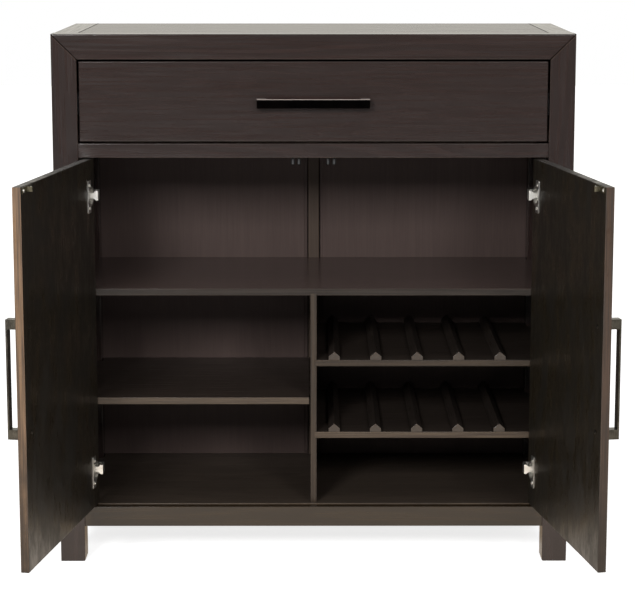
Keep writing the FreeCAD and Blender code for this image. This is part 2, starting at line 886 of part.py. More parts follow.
def hinge_arm(z):
    """Goose-neck arm of folded steel, from the pin round the door's edge to the mounting plate."""
    low = pin_from_front - arm_shank_low
    half = arm_height / 2
    outline = [
        hinge_point(pin_from_post, low, z - half),
        hinge_point(arm_reach, low, z - half),
        hinge_point(arm_reach, arm_back, z - half),
        hinge_point(plate_thickness + arm_band, arm_back, z - half),
        hinge_point(plate_thickness + arm_band, arm_end, z - half),
        hinge_point(plate_thickness, arm_end, z - half),
        hinge_point(plate_thickness, arm_back - arm_band, z - half),
        hinge_point(arm_reach - arm_band, arm_back - arm_band, z - half),
        hinge_point(arm_reach - arm_band, low + arm_shank_band, z - half),
        hinge_point(pin_from_post, low + arm_shank_band, z - half),
    ]
    arm = prism(outline, ALONG_Z * arm_height)
    outer_bends = edges_at(arm, x=arm_reach - opening_half, y=low)
    outer_bends += edges_at(arm, x=arm_reach - opening_half, y=arm_back)
    arm = arm.makeFillet(arm_bend_round, outer_bends)
    knuckle_foot = hinge_point(pin_from_post, pin_from_front, z - half)
    arm = one_solid(arm, [Part.makeCylinder(knuckle_radius, arm_height, knuckle_foot, ALONG_Z)])
    pocket = [
        hinge_point(pin_from_post - knuckle_radius - overrun, low + arm_steel, z),
        hinge_point(arm_reach - arm_steel, low + arm_steel, z),
        hinge_point(arm_reach - arm_steel, arm_back - arm_steel, z),
        hinge_point(plate_thickness + arm_band - arm_steel, arm_back - arm_steel, z),
        hinge_point(plate_thickness + arm_band - arm_steel, arm_end + overrun, z),
        hinge_point(plate_thickness - overrun, arm_end + overrun, z),
        hinge_point(plate_thickness - overrun, low + arm_steel, z),
    ]
    inside_half = arm_height / 2 - arm_steel
    shank_inside_half = arm_shank_height / 2 - arm_steel
    wide_pocket = prism([p - ALONG_Z * inside_half for p in pocket], ALONG_Z * (2 * inside_half))
    shank_zone = shank_space(z, arm_height / 2)
    narrow_pocket = prism([p - ALONG_Z * shank_inside_half for p in pocket], ALONG_Z * (2 * shank_inside_half))
    cuts = [wide_pocket.cut(shank_zone), narrow_pocket, pin_bar(z, pin_radius)]
    return arm.cut(cuts + shank_waste(z))


def shank_space(z, half):
    """The part of a hinge where its arm is narrow, up to where it flares."""
    x1 = arm_reach - arm_band - arm_flare_length / 2
    corner = hinge_point(pin_from_post - knuckle_radius - overrun, pin_from_front - knuckle_radius - overrun, z - half)
    far = hinge_point(x1, arm_back - arm_band - overrun, z + half)
    return block(corner.x, far.x, corner.y, far.y, corner.z, far.z)


def shank_waste(z):
    """What is taken off above and below the narrow part, with a sloped end where the arm flares."""
    x0 = pin_from_post - knuckle_radius - overrun
    x1 = arm_reach - arm_band - arm_flare_length / 2
    x2 = x1 + arm_flare_length
    y0 = pin_from_front - knuckle_radius - overrun
    run = ALONG_Y * (arm_back - arm_band - overrun - y0)
    waste = []
    for side in (-1, 1):
        near = z + side * arm_shank_height / 2
        far = z + side * (arm_height / 2 + overrun)
        outline = [
            hinge_point(x0, y0, near),
            hinge_point(x1, y0, near),
            hinge_point(x2, y0, far),
            hinge_point(x0, y0, far),
        ]
        waste.append(prism(outline, run))
    return waste


def hinge_plate(z):
    """Mounting plate: a raised middle for the arm, and two wings for the screws."""
    half = plate_height / 2
    x1 = plate_thickness
    y0 = plate_end - plate_length
    low = hinge_point(0, y0, z - half)
    high = hinge_point(x1, plate_end, z + half)
    middle = block(low.x, high.x, low.y, high.y, low.z, high.z)
    corner = hinge_point(0, plate_end - wing_length, z - wing_height / 2)
    wings = Part.makeBox(wing_thickness, wing_length, wing_height, corner)
    wings = wings.makeFillet(wing_corner, [e for e in wings.Edges if abs(e.tangentAt(0).x) > 1 / 2])
    holes = [screw_hole(s, ALONG_X * -1, screw_bite) for s in plate_screw_seats()]
    return one_solid(middle, [wings]).cut(holes)


def at_each_hinge(make):
    return [make(z) for z in hinge_heights]


# Catches

def roller_centre(side, z):
    """Middle of a left-hand roller: side is -1 for the one nearer the post and 1 for the other."""
    return vec(side * roller_spacing / 2 - catch_from_centre, catch_from_front, z)


def catch_roller(side):
    """Plastic roller, bored with play for its pin."""
    foot = roller_centre(side, roller_bottom)
    bore = Part.makeCylinder(roller_pin_radius + running_gap, roller_height + 2 * overrun, foot - ALONG_Z * overrun)
    return Part.makeCylinder(roller_radius, roller_height, foot).cut(bore)


def catch_body():
    """Left catch: a plate under the rail with two hanging pins, each with a collar and a foot."""
    x0 = -catch_from_centre - catch_plate_width / 2
    y0 = catch_from_front - catch_plate_front
    plate = Part.makeBox(catch_plate_width, catch_plate_length, catch_plate_thickness, vec(x0, y0, catch_plate_underside))
    plate = plate.makeFillet(catch_plate_corner, [e for e in plate.Edges if abs(e.tangentAt(0).z) > 1 / 2])
    pieces = []
    for side in (-1, 1):
        foot_top = roller_bottom - roller_end_gap
        foot = roller_centre(side, foot_top - roller_pin_head_height)
        pieces.append(Part.makeCylinder(roller_collar_radius, roller_pin_head_height, foot))
        pieces.append(Part.makeCylinder(roller_pin_radius, catch_plate_underside - foot.z, foot))
        collar = roller_centre(side, roller_top + roller_end_gap)
        pieces.append(Part.makeCylinder(roller_collar_radius, catch_plate_underside - collar.z, collar))
    holes = [screw_hole(s, ALONG_Z, screw_bite) for s in catch_screw_seats()]
    return one_solid(plate, pieces).cut(holes)


def catch_strike():
    """Plate on the back of the left door, with a blunt spear that runs in between the rollers."""
    x0 = -catch_from_centre - strike_plate_length / 2
    z0 = strike_middle - strike_plate_height / 2
    corner = vec(x0, door_thickness, z0)
    plate = Part.makeBox(strike_plate_length, strike_plate_thickness, strike_plate_height, corner)
    plate = plate.makeFillet(strike_plate_corner, [e for e in plate.Edges if abs(e.tangentAt(0).y) > 1 / 2])
    half = strike_spear_thickness / 2
    z1 = strike_middle - strike_spear_height / 2
    tip = door_thickness + strike_spear_reach
    outline = [
        vec(-catch_from_centre - half, door_thickness, z1),
        vec(-catch_from_centre + half, door_thickness, z1),
        vec(-catch_from_centre + half, tip - strike_spear_point, z1),
        vec(-catch_from_centre + half / 2, tip, z1),
        vec(-catch_from_centre - half / 2, tip, z1),
        vec(-catch_from_centre - half, tip - strike_spear_point, z1),
    ]
    spear = prism(outline, ALONG_Z * strike_spear_height)
    holes = [screw_hole(s, ALONG_Y * -1, short_screw_bite) for s in strike_screw_seats()]
    return one_solid(plate, [spear]).cut(holes)


parts = {}


def add_pair(name, left):
    """A left-hand piece and its mirror image, as two parts."""
    parts[name + "_left"] = left
    parts[name + "_right"] = mirrored(left)


add_pair("front_leg", front_leg())
add_pair("rear_leg", rear_leg())
parts["front_top_rail"] = front_top_rail()
add_pair("side_top_rail", side_top_rail())
parts["top_panel"] = top_panel()
parts["back_top_rail"] = back_top_rail()
parts["drawer_rail"] = drawer_rail()
parts["bottom_rail"] = bottom_rail()
add_pair("side_bottom_rail", side_bottom_rail())
parts["back_bottom_rail"] = back_bottom_rail()
parts["side_panel_left"] = left_side_panel()
parts["side_panel_right"] = right_side_panel()
add_pair("back_panel", back_panel())
parts["back_centre_stile"] = back_centre_stile()
parts["bottom_board"] = bottom_board()
parts["middle_shelf"] = middle_shelf()
parts["centre_divider"] = centre_divider()
parts["adjustable_shelf"] = adjustable_shelf()
parts["shelf_pins"] = shelf_pins()
parts["bottle_shelf_upper"] = bottle_shelf(upper_bottle_shelf_top)
parts["bottle_shelf_lower"] = bottle_shelf(lower_bottle_shelf_top)
parts["bottle_rails_upper"] = bottle_rails(upper_bottle_shelf_top)
parts["bottle_rails_lower"] = bottle_rails(lower_bottle_shelf_top)

parts["drawer_front"] = drawer_front()
add_pair("drawer_side", drawer_side())
parts["drawer_back"] = drawer_back_board()
parts["drawer_floor"] = drawer_floor()
parts["drawer_handle"] = placed(handle(), drawer_handle_place(), 90)
parts["drawer_screws"] = drawer_screws()
add_pair("slide_outer", slide_outer())
add_pair("slide_middle", slide_middle())
add_pair("slide_inner", slide_inner())

add_pair("door", opened(door()))
add_pair("door_handle", opened(placed(handle(), door_handle_place())))
add_pair("door_screws", opened(door_screws()))
add_pair("hinge_cups", opened(Part.makeCompound(at_each_hinge(hinge_cup))))
add_pair("catch_strike", opened(catch_strike()))
parts["hinge_arms"] = Part.makeCompound(with_mirrored(at_each_hinge(hinge_arm)))
parts["hinge_plates"] = Part.makeCompound(with_mirrored(at_each_hinge(hinge_plate)))
parts["hinge_pins"] = Part.makeCompound(with_mirrored([pin_bar(z, pin_radius) for z in hinge_heights]))
parts["catch_bodies"] = Part.makeCompound(with_mirrored([catch_body()]))
add_pair("catch_roller_outer", catch_roller(-1))
add_pair("catch_roller_inner", catch_roller(1))
parts["case_screws"] = case_screws()

os.makedirs("parts", exist_ok=True)
for name, shape in parts.items():
    shape.exportStep("parts/" + name + ".step")
print(len(parts), "parts,", round(width), "wide,", round(height), "high,", round(depth), "deep")
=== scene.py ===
# %% [markdown]
# A bar cabinet in dark stained wood, with a wide drawer, two doors and shelves for glasses and bottles.
# The construction model already fixes every size and joint, so it is loaded first and never moved. What is
# left to do here is the finish: stain, lacquer and grain on the wood, the metal of the handles and hinges,
# the small fittings that are too fine for the construction model, and the light of a photo studio.

# %% Load the construction model
import math

import bmesh
import bpy
import numpy as np
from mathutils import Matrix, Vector


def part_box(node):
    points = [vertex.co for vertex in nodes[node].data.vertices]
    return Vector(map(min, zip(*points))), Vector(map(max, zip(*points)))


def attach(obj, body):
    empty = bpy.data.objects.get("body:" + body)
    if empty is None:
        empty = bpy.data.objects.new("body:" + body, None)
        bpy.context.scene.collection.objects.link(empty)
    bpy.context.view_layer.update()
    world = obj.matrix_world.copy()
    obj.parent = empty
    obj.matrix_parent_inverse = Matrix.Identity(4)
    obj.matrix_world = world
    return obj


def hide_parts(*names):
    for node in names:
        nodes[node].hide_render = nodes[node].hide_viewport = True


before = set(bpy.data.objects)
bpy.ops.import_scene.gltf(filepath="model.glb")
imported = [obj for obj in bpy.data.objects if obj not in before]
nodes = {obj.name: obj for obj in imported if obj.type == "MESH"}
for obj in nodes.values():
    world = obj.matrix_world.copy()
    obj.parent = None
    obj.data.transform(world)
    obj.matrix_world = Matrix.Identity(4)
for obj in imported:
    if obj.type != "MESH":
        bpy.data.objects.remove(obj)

MM = 0.001
FULL_TURN = 2 * math.pi
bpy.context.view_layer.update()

# %% [markdown]
# The picture shows the cabinet straight from the front, a little above the top, with a long lens. From
# that place the top is a thin strip, and the shelves show their upper faces. The camera stands about four
# metres away and looks down by nine degrees. The small shift keeps the cabinet in the middle of the
# picture.

# %% Set up the camera
LENS_MM = 114.6
SENSOR_MM = 36
CAMERA_PLACE = (0.001, -3.917, 1.268)
CAMERA_PITCH = math.radians(9.13)
CAMERA_YAW = math.radians(-0.1)
CAMERA_SHIFT = -0.08

camera_data = bpy.data.cameras.new("camera")
camera_data.lens = LENS_MM
camera_data.sensor_width = SENSOR_MM
camera_data.shift_y = CAMERA_SHIFT
camera = bpy.data.objects.new("camera", camera_data)
camera.location = CAMERA_PLACE
camera.rotation_euler = (math.pi / 2 - CAMERA_PITCH, 0, CAMERA_YAW)
bpy.context.scene.collection.objects.link(camera)
bpy.context.scene.camera = camera
bpy.context.scene.view_settings.view_transform = "Standard"
print("camera", round(-CAMERA_PLACE[1], 2), "m in front,", round(CAMERA_PLACE[2], 2), "m up")

# %% [markdown]
# Every finish below is a small network of shader nodes. These helpers keep the networks short. One adds a
# node and plugs in its inputs, two do sums with numbers and with vectors, one mixes two colours, and one
# turns a pattern into a soft step between two levels. A step over a short range draws a line, and one over
# a long range is a gentle change.

# %% Helpers that add shader nodes
MIX_AMOUNT, MIX_FIRST, MIX_SECOND, MIX_RESULT = 0, 6, 7, 2


def plug(tree, socket, value):
    """Link a socket to value where that is a socket as well, or else set it to value."""
    if isinstance(value, bpy.types.NodeSocket):
        tree.links.new(value, socket)
    else:
        socket.default_value = value


def add(tree, kind, **sockets):
    """A new node with its inputs. An underscore stands for the space in a socket's name."""
    node = tree.nodes.new(kind)
    for name, value in sockets.items():
        plug(tree, node.inputs[name.replace("_", " ")], value)
    return node


def calc(tree, operation, a, b=0.0):
    node = tree.nodes.new("ShaderNodeMath")
    node.operation = operation
    plug(tree, node.inputs[0], a)
    plug(tree, node.inputs[1], b)
    return node.outputs[0]


def vector_calc(tree, operation, a, b=(0, 0, 0)):
    """The outputs of a sum with vectors: Vector, or Value where the answer is one number."""
    node = tree.nodes.new("ShaderNodeVectorMath")
    node.operation = operation
    plug(tree, node.inputs[0], a)
    plug(tree, node.inputs[1], b)
    return node.outputs


def mix(tree, amount, a, b):
    node = tree.nodes.new("ShaderNodeMix")
    node.data_type = "RGBA"
    plug(tree, node.inputs[MIX_AMOUNT], amount)
    plug(tree, node.inputs[MIX_FIRST], a)
    plug(tree, node.inputs[MIX_SECOND], b)
    return node.outputs[MIX_RESULT]


def band(tree, value, low, high, to_low=0.0, to_high=1.0):
    node = tree.nodes.new("ShaderNodeMapRange")
    node.interpolation_type = "SMOOTHSTEP"
    plug(tree, node.inputs["Value"], value)
    node.inputs["From Min"].default_value = low
    node.inputs["From Max"].default_value = high
    node.inputs["To Min"].default_value = to_low
    node.inputs["To Max"].default_value = to_high
    return node.outputs["Result"]


print("node helpers ready")

# %% [markdown]
# Four more helpers: a cloudy pattern, a fresh material with its shader, the place of each point of a
# piece, and tones. The tones are written as a screen shows them, which is how one reads them off a
# picture, and turned into the amounts of light that a shader works with.

# %% Helpers for patterns, materials and tones
def noise(tree, vector, scale, detail=2.0, roughness=0.5):
    node = add(tree, "ShaderNodeTexNoise", Vector=vector, Scale=scale, Detail=detail, Roughness=roughness)
    return node.outputs["Fac"]


def new_material(name):
    material = bpy.data.materials.new(name)
    material.use_nodes = True
    tree = material.node_tree
    return material, tree, tree.nodes["Principled BSDF"]


def places(tree):
    """The place of each point, in metres and in the cabinet's own axes."""
    return tree.nodes.new("ShaderNodeTexCoord").outputs["Object"]


def srgb(red, green, blue):
    """A tone as seen on screen, 0 to 255, turned into light by the usual curve of screens."""
    def light(value):
        value /= 255
        return value / 12.92 if value <= 0.04045 else ((value + 0.055) / 1.055) ** 2.4
    return (light(red), light(green), light(blue), 1.0)


print("helpers for patterns, materials and tones ready")

# %% [markdown]
# Grain is a pattern in space. It is read from places in the cabinet's own axes, because the pieces have no
# texture map, and because a pattern in space runs on round a corner, as real wood does. Each piece moves
# its places by a chance amount, so that no two boards match. Scaled down along one axis, a pattern is
# drawn out along the grain. Pushed a little to and fro, its lines run in small waves, as on the drawer
# front.

# %% Places on a board
CHANCE_ACROSS = 7.0
RIPPLES = (22.0, 45.0)
RIPPLE_PATTERN = {"scale": 1.0, "detail": 1.0}
RIPPLE_DEPTH = 9.0 * MM
MIDDLE_LEVEL = 0.5


def own_places(tree, seed):
    """Places moved by an amount that differs from piece to piece, and from finish to finish by the seed."""
    chance = tree.nodes.new("ShaderNodeObjectInfo").outputs["Random"]
    across = calc(tree, "MULTIPLY", chance, CHANCE_ACROSS)
    offset = add(tree, "ShaderNodeCombineXYZ", X=chance, Y=across, Z=seed)
    return vector_calc(tree, "ADD", places(tree), offset.outputs[0])["Vector"]


def drawn_out(tree, vector, along, scales):
    """A pattern space with one scale along the grain and another across it."""
    by_axis = [scales[0] if axis == along else scales[1] for axis in "XYZ"]
    return add(tree, "ShaderNodeMapping", Vector=vector, Scale=by_axis).outputs[0]


def rippled(tree, board, along):
    """The same places, pushed a little to and fro, so that lines along the grain run in waves."""
    wave = noise(tree, drawn_out(tree, board, along, RIPPLES), **RIPPLE_PATTERN)
    push = calc(tree, "MULTIPLY", calc(tree, "SUBTRACT", wave, MIDDLE_LEVEL), RIPPLE_DEPTH)
    return vector_calc(tree, "ADD", board, push)["Vector"]


print("waves up to", round(RIPPLE_DEPTH / 2 / MM, 1), "mm deep")

# %% [markdown]
# Two masks pick out parts of a piece. One finds its edges: a bevel node gives a rounded normal, which
# differs from the true one only near an edge. The rounded normal is used as well, because it takes the
# knife edge off every board without touching the mesh. The other mask finds the faces that look in one
# direction, such as the front of a shelf. It reads the piece's own normals, so it stays in place when a
# door swings.

# %% Masks for edges and faces
EDGE_SOFTNESS = 1.2 * MM
EDGE_SAMPLES = 6
EDGE_RANGE = (0.999, 0.9)
FACING_RANGE = (0.6, 0.8)


def edge_mask(tree, softness):
    """Near 1 along the edges of a piece and 0 on its flats, with the softened normal beside it."""
    soft = add(tree, "ShaderNodeBevel", Radius=softness)
    soft.samples = EDGE_SAMPLES
    flat = tree.nodes.new("ShaderNodeNewGeometry").outputs["Normal"]
    turn = vector_calc(tree, "DOT_PRODUCT", soft.outputs[0], flat)["Value"]
    return band(tree, turn, *EDGE_RANGE), soft.outputs[0]


def facing(tree, direction):
    """1 on the faces of a piece that look in one direction, and 0 on the others."""
    normal = tree.nodes.new("ShaderNodeTexCoord").outputs["Normal"]
    turn = vector_calc(tree, "DOT_PRODUCT", normal, direction)["Value"]
    return band(tree, turn, *FACING_RANGE)


print("edges softened by", round(EDGE_SOFTNESS / MM, 1), "mm")

# %% [markdown]
# Where two boards of the frame meet, a real cabinet shows a hairline with a paler edge beside it. That
# paler edge is partly wear and partly a painted highlight, for the light on the rounded arris. In the
# construction model these boards touch, so no light falls between them. A gap could be cut into the meshes,
# but those stay as they are, so the line is part of the finish. Each line is a plane, set by the corners of
# the posts, rails and panels that meet there. It also takes the shine away, which would hide it on the
# glossy top.

# %% Joint lines
SEAM_DARK = srgb(9, 7, 6)
# A paler brown for edges: partly wear, partly a painted highlight of the rounded arris.
WEAR_AND_HIGHLIGHT_BROWN = srgb(104, 86, 74)
SEAM_EDGE = 1.8 * MM
SEAM_EDGE_SHARE = 0.45
GAP_FULL_SHARE = 0.9
GAP_END_SHARE = 1.6
MITRE_GAP_HALF = 1.2 * MM
BUTT_GAP_HALF = 0.9 * MM
TOP_GAP_HALF = 1.2 * MM
STILE_GAP_HALF = 2.0 * MM
POST_OUTSIDE = abs(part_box("front_leg_left")[0][0])
POST_INSIDE = abs(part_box("front_leg_left")[1][0])
MITRE_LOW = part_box("front_top_rail")[0][2]
MITRE_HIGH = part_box("front_top_rail")[1][2]
TOP_JOINT = abs(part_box("side_top_rail_left")[1][0])
STILE_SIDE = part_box("back_centre_stile")[1][0]


def sideways(tree):
    """How far a place is from the middle plane, and how high it is."""
    place = add(tree, "ShaderNodeSeparateXYZ", Vector=places(tree))
    return calc(tree, "ABSOLUTE", place.outputs["X"]), place.outputs["Z"]


def joint(tree, outwards, gap_half):
    """A dark gap where outwards is near zero, and where it is more, a paler edge of wear and painted
    highlight.
    """
    full, end = gap_half * GAP_FULL_SHARE, gap_half * GAP_END_SHARE
    gap = band(tree, calc(tree, "ABSOLUTE", outwards), end, full)
    past_gap = band(tree, outwards, full, end)
    near_gap = band(tree, outwards, gap_half + SEAM_EDGE, end)
    return gap, calc(tree, "MULTIPLY", past_gap, near_gap)


def mitre_line(tree):
    """The slanted joint between a front post and the top rail."""
    side, up = sideways(tree)
    across = calc(tree, "SUBTRACT", side, POST_INSIDE)
    slope = (POST_OUTSIDE - POST_INSIDE) / (MITRE_HIGH - MITRE_LOW)
    slant = calc(tree, "MULTIPLY", calc(tree, "SUBTRACT", up, MITRE_LOW), slope)
    return joint(tree, calc(tree, "SUBTRACT", across, slant), MITRE_GAP_HALF)


def butt_line(tree):
    """The ends of a rail, where it meets the posts."""
    return joint(tree, calc(tree, "SUBTRACT", sideways(tree)[0], POST_INSIDE), BUTT_GAP_HALF)


def top_line(tree):
    """The joints between the top panel and the rails at its sides."""
    return joint(tree, calc(tree, "SUBTRACT", sideways(tree)[0], TOP_JOINT), TOP_GAP_HALF)


def stile_line(tree):
    """The joints between the upright in the middle of the back and the panels beside it."""
    return joint(tree, calc(tree, "SUBTRACT", STILE_SIDE, sideways(tree)[0]), STILE_GAP_HALF)


print("posts", round((POST_OUTSIDE - POST_INSIDE) / MM), "mm wide, mitred over the height of the rail")

# %% [markdown]
# The wood is a dark espresso stain under satin lacquer. Real boards are stained after sanding, so the
# stain sinks into the open grain and leaves the dense year rings a shade lighter. Four patterns make that.
# Year rings are the contour lines of a broad cloud, drawn out along the grain, which gives the long arches
# of a sawn board. Then come streaks, fibres a millimetre or two wide, and short dark pores. All of them
# change the tone by only a little, because a dark stain hides most of the grain.

# %% The grain
CLOUDS = (2.2, 26.0)
SHORT_STREAKS = (5.0, 50.0)
FIBRES = (7.0, 520.0)
PORES = (60.0, 1900.0)
CLOUD_PATTERN = {"scale": 0.6, "detail": 1.0, "roughness": 0.3}
STREAK_PATTERN = {"scale": 4.0, "detail": 4.0, "roughness": 0.6}
FIBRE_PATTERN = {"scale": 1.0, "detail": 3.0, "roughness": 0.55}
PORE_PATTERN = {"scale": 1.0, "detail": 2.0}
RING_RANGE = (-0.6, 1.0)
STREAK_RANGE = (0.2, 0.8)
FIBRE_RANGE = (0.3, 0.7)
PORE_RANGE = (0.36, 0.28)
FIBRE_SHARE = 0.175
PORE_SHARE = 0.3


def grain(tree, board, along, rings, arch, streaky, fine, wavy):
    """How light the stain is at each place, and the fibres, which bump and gloss follow later."""
    space = drawn_out(tree, board, along, CLOUDS)
    turns = calc(tree, "MULTIPLY", noise(tree, space, **CLOUD_PATTERN), rings * FULL_TURN)
    level = calc(tree, "MULTIPLY", band(tree, calc(tree, "SINE", turns), *RING_RANGE), arch)
    if wavy:
        space = drawn_out(tree, rippled(tree, board, along), along, SHORT_STREAKS)
    streaks = noise(tree, space, **STREAK_PATTERN)
    level = calc(tree, "ADD", level, band(tree, streaks, *STREAK_RANGE, 0.0, streaky))
    fibres = noise(tree, drawn_out(tree, board, along, FIBRES), **FIBRE_PATTERN)
    fibre_levels = (FIBRE_SHARE * (1 - fine), FIBRE_SHARE * (1 + fine))
    level = calc(tree, "ADD", level, band(tree, fibres, *FIBRE_RANGE, *fibre_levels))
    pores = noise(tree, drawn_out(tree, board, along, PORES), **PORE_PATTERN)
    level = calc(tree, "SUBTRACT", level, band(tree, pores, *PORE_RANGE, 0.0, PORE_SHARE * fine))
    return level, fibres


print("fibres about", round(1 / FIBRES[1] / MM, 1), "mm wide and", round(1 / FIBRES[0] / MM), "mm long")

# %% [markdown]
# A few boards have more than grain. Hand-stained faces are blotched, and the blots shine a little more.
# Shelves and doors have a strip of real wood on an edge, whose tone follows the fibres. On the doors the
# strip darkens in patches towards the floor, as in the picture: a painted shade.

# %% Blots and strips
BLOTS = (10.0, 24.0)
BLOT_PATTERN = {"scale": 1.0, "detail": 6.0, "roughness": 0.75}
BLOT_RANGE = (0.4, 0.62)
PATCH_PATTERN = {"scale": 9.0, "detail": 4.0, "roughness": 0.7}
PATCH_SHARE = 0.5
FLOOR_SHADE_RANGE = (0.75, 0.25)
HALF_RANGE = (0.35, 0.65)


def blotches(tree, board, along, depth, elsewhere):
    """Darker and lighter blots, up to depth, where the mask elsewhere is 0."""
    blots = noise(tree, drawn_out(tree, board, along, BLOTS), **BLOT_PATTERN)
    blots = band(tree, blots, *BLOT_RANGE, -depth, depth)
    return calc(tree, "MULTIPLY", blots, calc(tree, "SUBTRACT", 1.0, elsewhere))


def strip_stain_and_shade(tree, board, fibres, dark, light, floor_shade_tone=None):
    """The tone of a strip of real wood, and a painted shade that takes over in patches near the floor."""
    strip = mix(tree, band(tree, fibres, *HALF_RANGE), dark, light)
    # Painted shade: the strip darkens in patches towards the floor.
    if floor_shade_tone:
        patches = calc(tree, "MULTIPLY", noise(tree, board, **PATCH_PATTERN), PATCH_SHARE)
        height = calc(tree, "ADD", sideways(tree)[1], patches)
        strip = mix(tree, band(tree, height, *FLOOR_SHADE_RANGE), strip, floor_shade_tone)
    return strip


print("strips darken from about", FLOOR_SHADE_RANGE[0] - PATCH_SHARE * MIDDLE_LEVEL, "m down")

# %% [markdown]
# The finish puts it all together. The stain comes first, then another tone for the outer face and the
# strip, whose darker patches near the floor are painted shade, then a lighter brown on the edges, and last
# the joint line. The lighter edges are partly wear, where lacquer and stain are thinnest, and partly a
# painted highlight of the rounded arris. The lacquer is the shader's own gloss over that. Its roughness
# follows the fibres, and a fine bump makes them felt.

# %% The wood finish
RUB_AND_HIGHLIGHT_PATTERN = {"scale": 30.0, "detail": 3.0, "roughness": 0.6}
LEAST_RUB_AND_HIGHLIGHT_SHARE = 0.3
BLOT_SHINE = 0.25
DULL_FIBRE = 0.06
SHINY_FIBRE = -0.03
WOOD_BUMP = 0.3
WOOD_BUMP_DEPTH = 0.1 * MM


def draw_seam(tree, shader, colour, seam, gloss):
    """The colour with a joint line in it. The gap doesn't shine."""
    gap, edge = seam(tree)
    # The paler edge beside the gap is partly wear and partly a painted highlight.
    colour = mix(tree, calc(tree, "MULTIPLY", edge, SEAM_EDGE_SHARE), colour, WEAR_AND_HIGHLIGHT_BROWN)
    shine = calc(tree, "MULTIPLY", calc(tree, "SUBTRACT", 1.0, gap), gloss)
    plug(tree, shader.inputs["Specular IOR Level"], shine)
    return mix(tree, gap, colour, SEAM_DARK)


def wood(
    name, dark, light, along, rings=10.0, arch=0.25, streaky=0.25, fine=1.0, wavy=False, mottle=0.0,
    rough=0.17, gloss=0.5, soft=EDGE_SOFTNESS, edge_rough=0.0, edge_tone=None, edge_strength=0.5, lip=None, outside=None,
    seam=None, seed=0.0,
):
    """A stained board with its grain along one axis. dark and light are the two tones of the stain.

    rings, arch, streaky, fine, wavy and mottle shape the grain. rough and gloss are the lacquer's. The edge
    tone and its strength give paler edges, partly wear and partly a painted highlight. lip is a direction
    and the tones of a strip on the faces that look there. outside is a direction and the tones and
    roughness of the faces there.
    """
    material, tree, shader = new_material(name)
    board = own_places(tree, seed)
    level, fibres = grain(tree, board, along, rings, arch, streaky, fine, wavy)
    outer = facing(tree, outside[0]) if outside else 0.0
    if mottle:
        blots = blotches(tree, board, along, mottle, outer)
        level = calc(tree, "ADD", level, blots)
    colour = mix(tree, level, dark, light)
    if outside:
        colour = mix(tree, outer, colour, mix(tree, level, outside[1], outside[2]))
    if lip:
        colour = mix(tree, facing(tree, lip[0]), colour, strip_stain_and_shade(tree, board, fibres, *lip[1:]))
    edges, soft_normal = edge_mask(tree, soft)
    # Paler edges, partly wear and partly a painted highlight of the rounded arris.
    rub_and_highlight = noise(tree, board, **RUB_AND_HIGHLIGHT_PATTERN)
    rub_and_highlight = calc(tree, "MULTIPLY", edges, band(tree, rub_and_highlight, *HALF_RANGE, LEAST_RUB_AND_HIGHLIGHT_SHARE * edge_strength, edge_strength))
    colour = mix(tree, rub_and_highlight, colour, edge_tone or light)
    shader.inputs["Specular IOR Level"].default_value = gloss
    if seam:
        colour = draw_seam(tree, shader, colour, seam, gloss)
    plug(tree, shader.inputs["Base Color"], colour)

    sheen = band(tree, fibres, *FIBRE_RANGE, rough + DULL_FIBRE, rough + SHINY_FIBRE)
    if mottle:
        sheen = calc(tree, "SUBTRACT", sheen, calc(tree, "MULTIPLY", blots, BLOT_SHINE))
    if outside:
        sheen = calc(tree, "ADD", sheen, calc(tree, "MULTIPLY", outer, outside[3] - rough))
    if edge_rough:
        sheen = calc(tree, "MAXIMUM", sheen, calc(tree, "MULTIPLY", edges, edge_rough))
    plug(tree, shader.inputs["Roughness"], sheen)
    bump = add(
        tree, "ShaderNodeBump", Strength=WOOD_BUMP * fine, Distance=WOOD_BUMP_DEPTH, Height=fibres,
        Normal=soft_normal,
    )
    plug(tree, shader.inputs["Normal"], bump.outputs[0])
    return material


print("wood finish ready")

# %% [markdown]
# The frame: posts, rails and the side panels between them. The grain runs along each piece, upright in the
# posts and panels and level in the rails, and the pieces meet in mitres or butt joints. So there is a
# finish for each direction and each kind of joint line. The posts get a plainer figure, because they are
# sawn from straight wood. The rail under the doors is a shade more yellow, a painted tint of the warm light
# that the floor throws up on it.

# %% Posts, rails and side panels
FRAME_DARK = srgb(29, 21, 19)
FRAME_LIGHT = srgb(47, 35, 32)
# More yellow tones for the rail under the doors: painted warm light from the floor.
LOW_RAIL_WARM_LIT_DARK = srgb(29, 21, 12)
LOW_RAIL_WARM_LIT_LIGHT = srgb(47, 35, 20)


def dress(material, *names):
    """Give pieces of the construction model a finish in place of the plain one."""
    for name in names:
        mesh = nodes[name].data
        mesh.materials.clear()
        mesh.materials.append(material)


def both(name):
    return [name + "_left", name + "_right"]


def frame_wood(name, along, tones=(FRAME_DARK, FRAME_LIGHT), **finish):
    return wood("stained_" + name, *tones, along, edge_tone=WEAR_AND_HIGHLIGHT_BROWN, **finish)


posts = frame_wood("posts", "Z", arch=0.18, fine=0.8, seam=mitre_line)
top_rail = frame_wood("top_rail", "X", seam=mitre_line, seed=5.0)
rails = frame_wood("rails", "X", seam=butt_line, seed=4.0)
low_rail_warm_lit = frame_wood("low_rail_warm_lit", "X", (LOW_RAIL_WARM_LIT_DARK, LOW_RAIL_WARM_LIT_LIGHT), seam=butt_line, seed=4.0)
side_rails = frame_wood("side_rails", "Y", seam=top_line, seed=7.0)
panels = frame_wood("side_panels", "Z", seed=2.0)
dress(posts, *both("front_leg"), *both("rear_leg"))
dress(top_rail, "front_top_rail")
dress(rails, "drawer_rail", "back_top_rail", "back_bottom_rail")
dress(low_rail_warm_lit, "bottom_rail")
dress(side_rails, *both("side_top_rail"), *both("side_bottom_rail"))
dress(panels, *both("side_panel"))
print("frame stained")

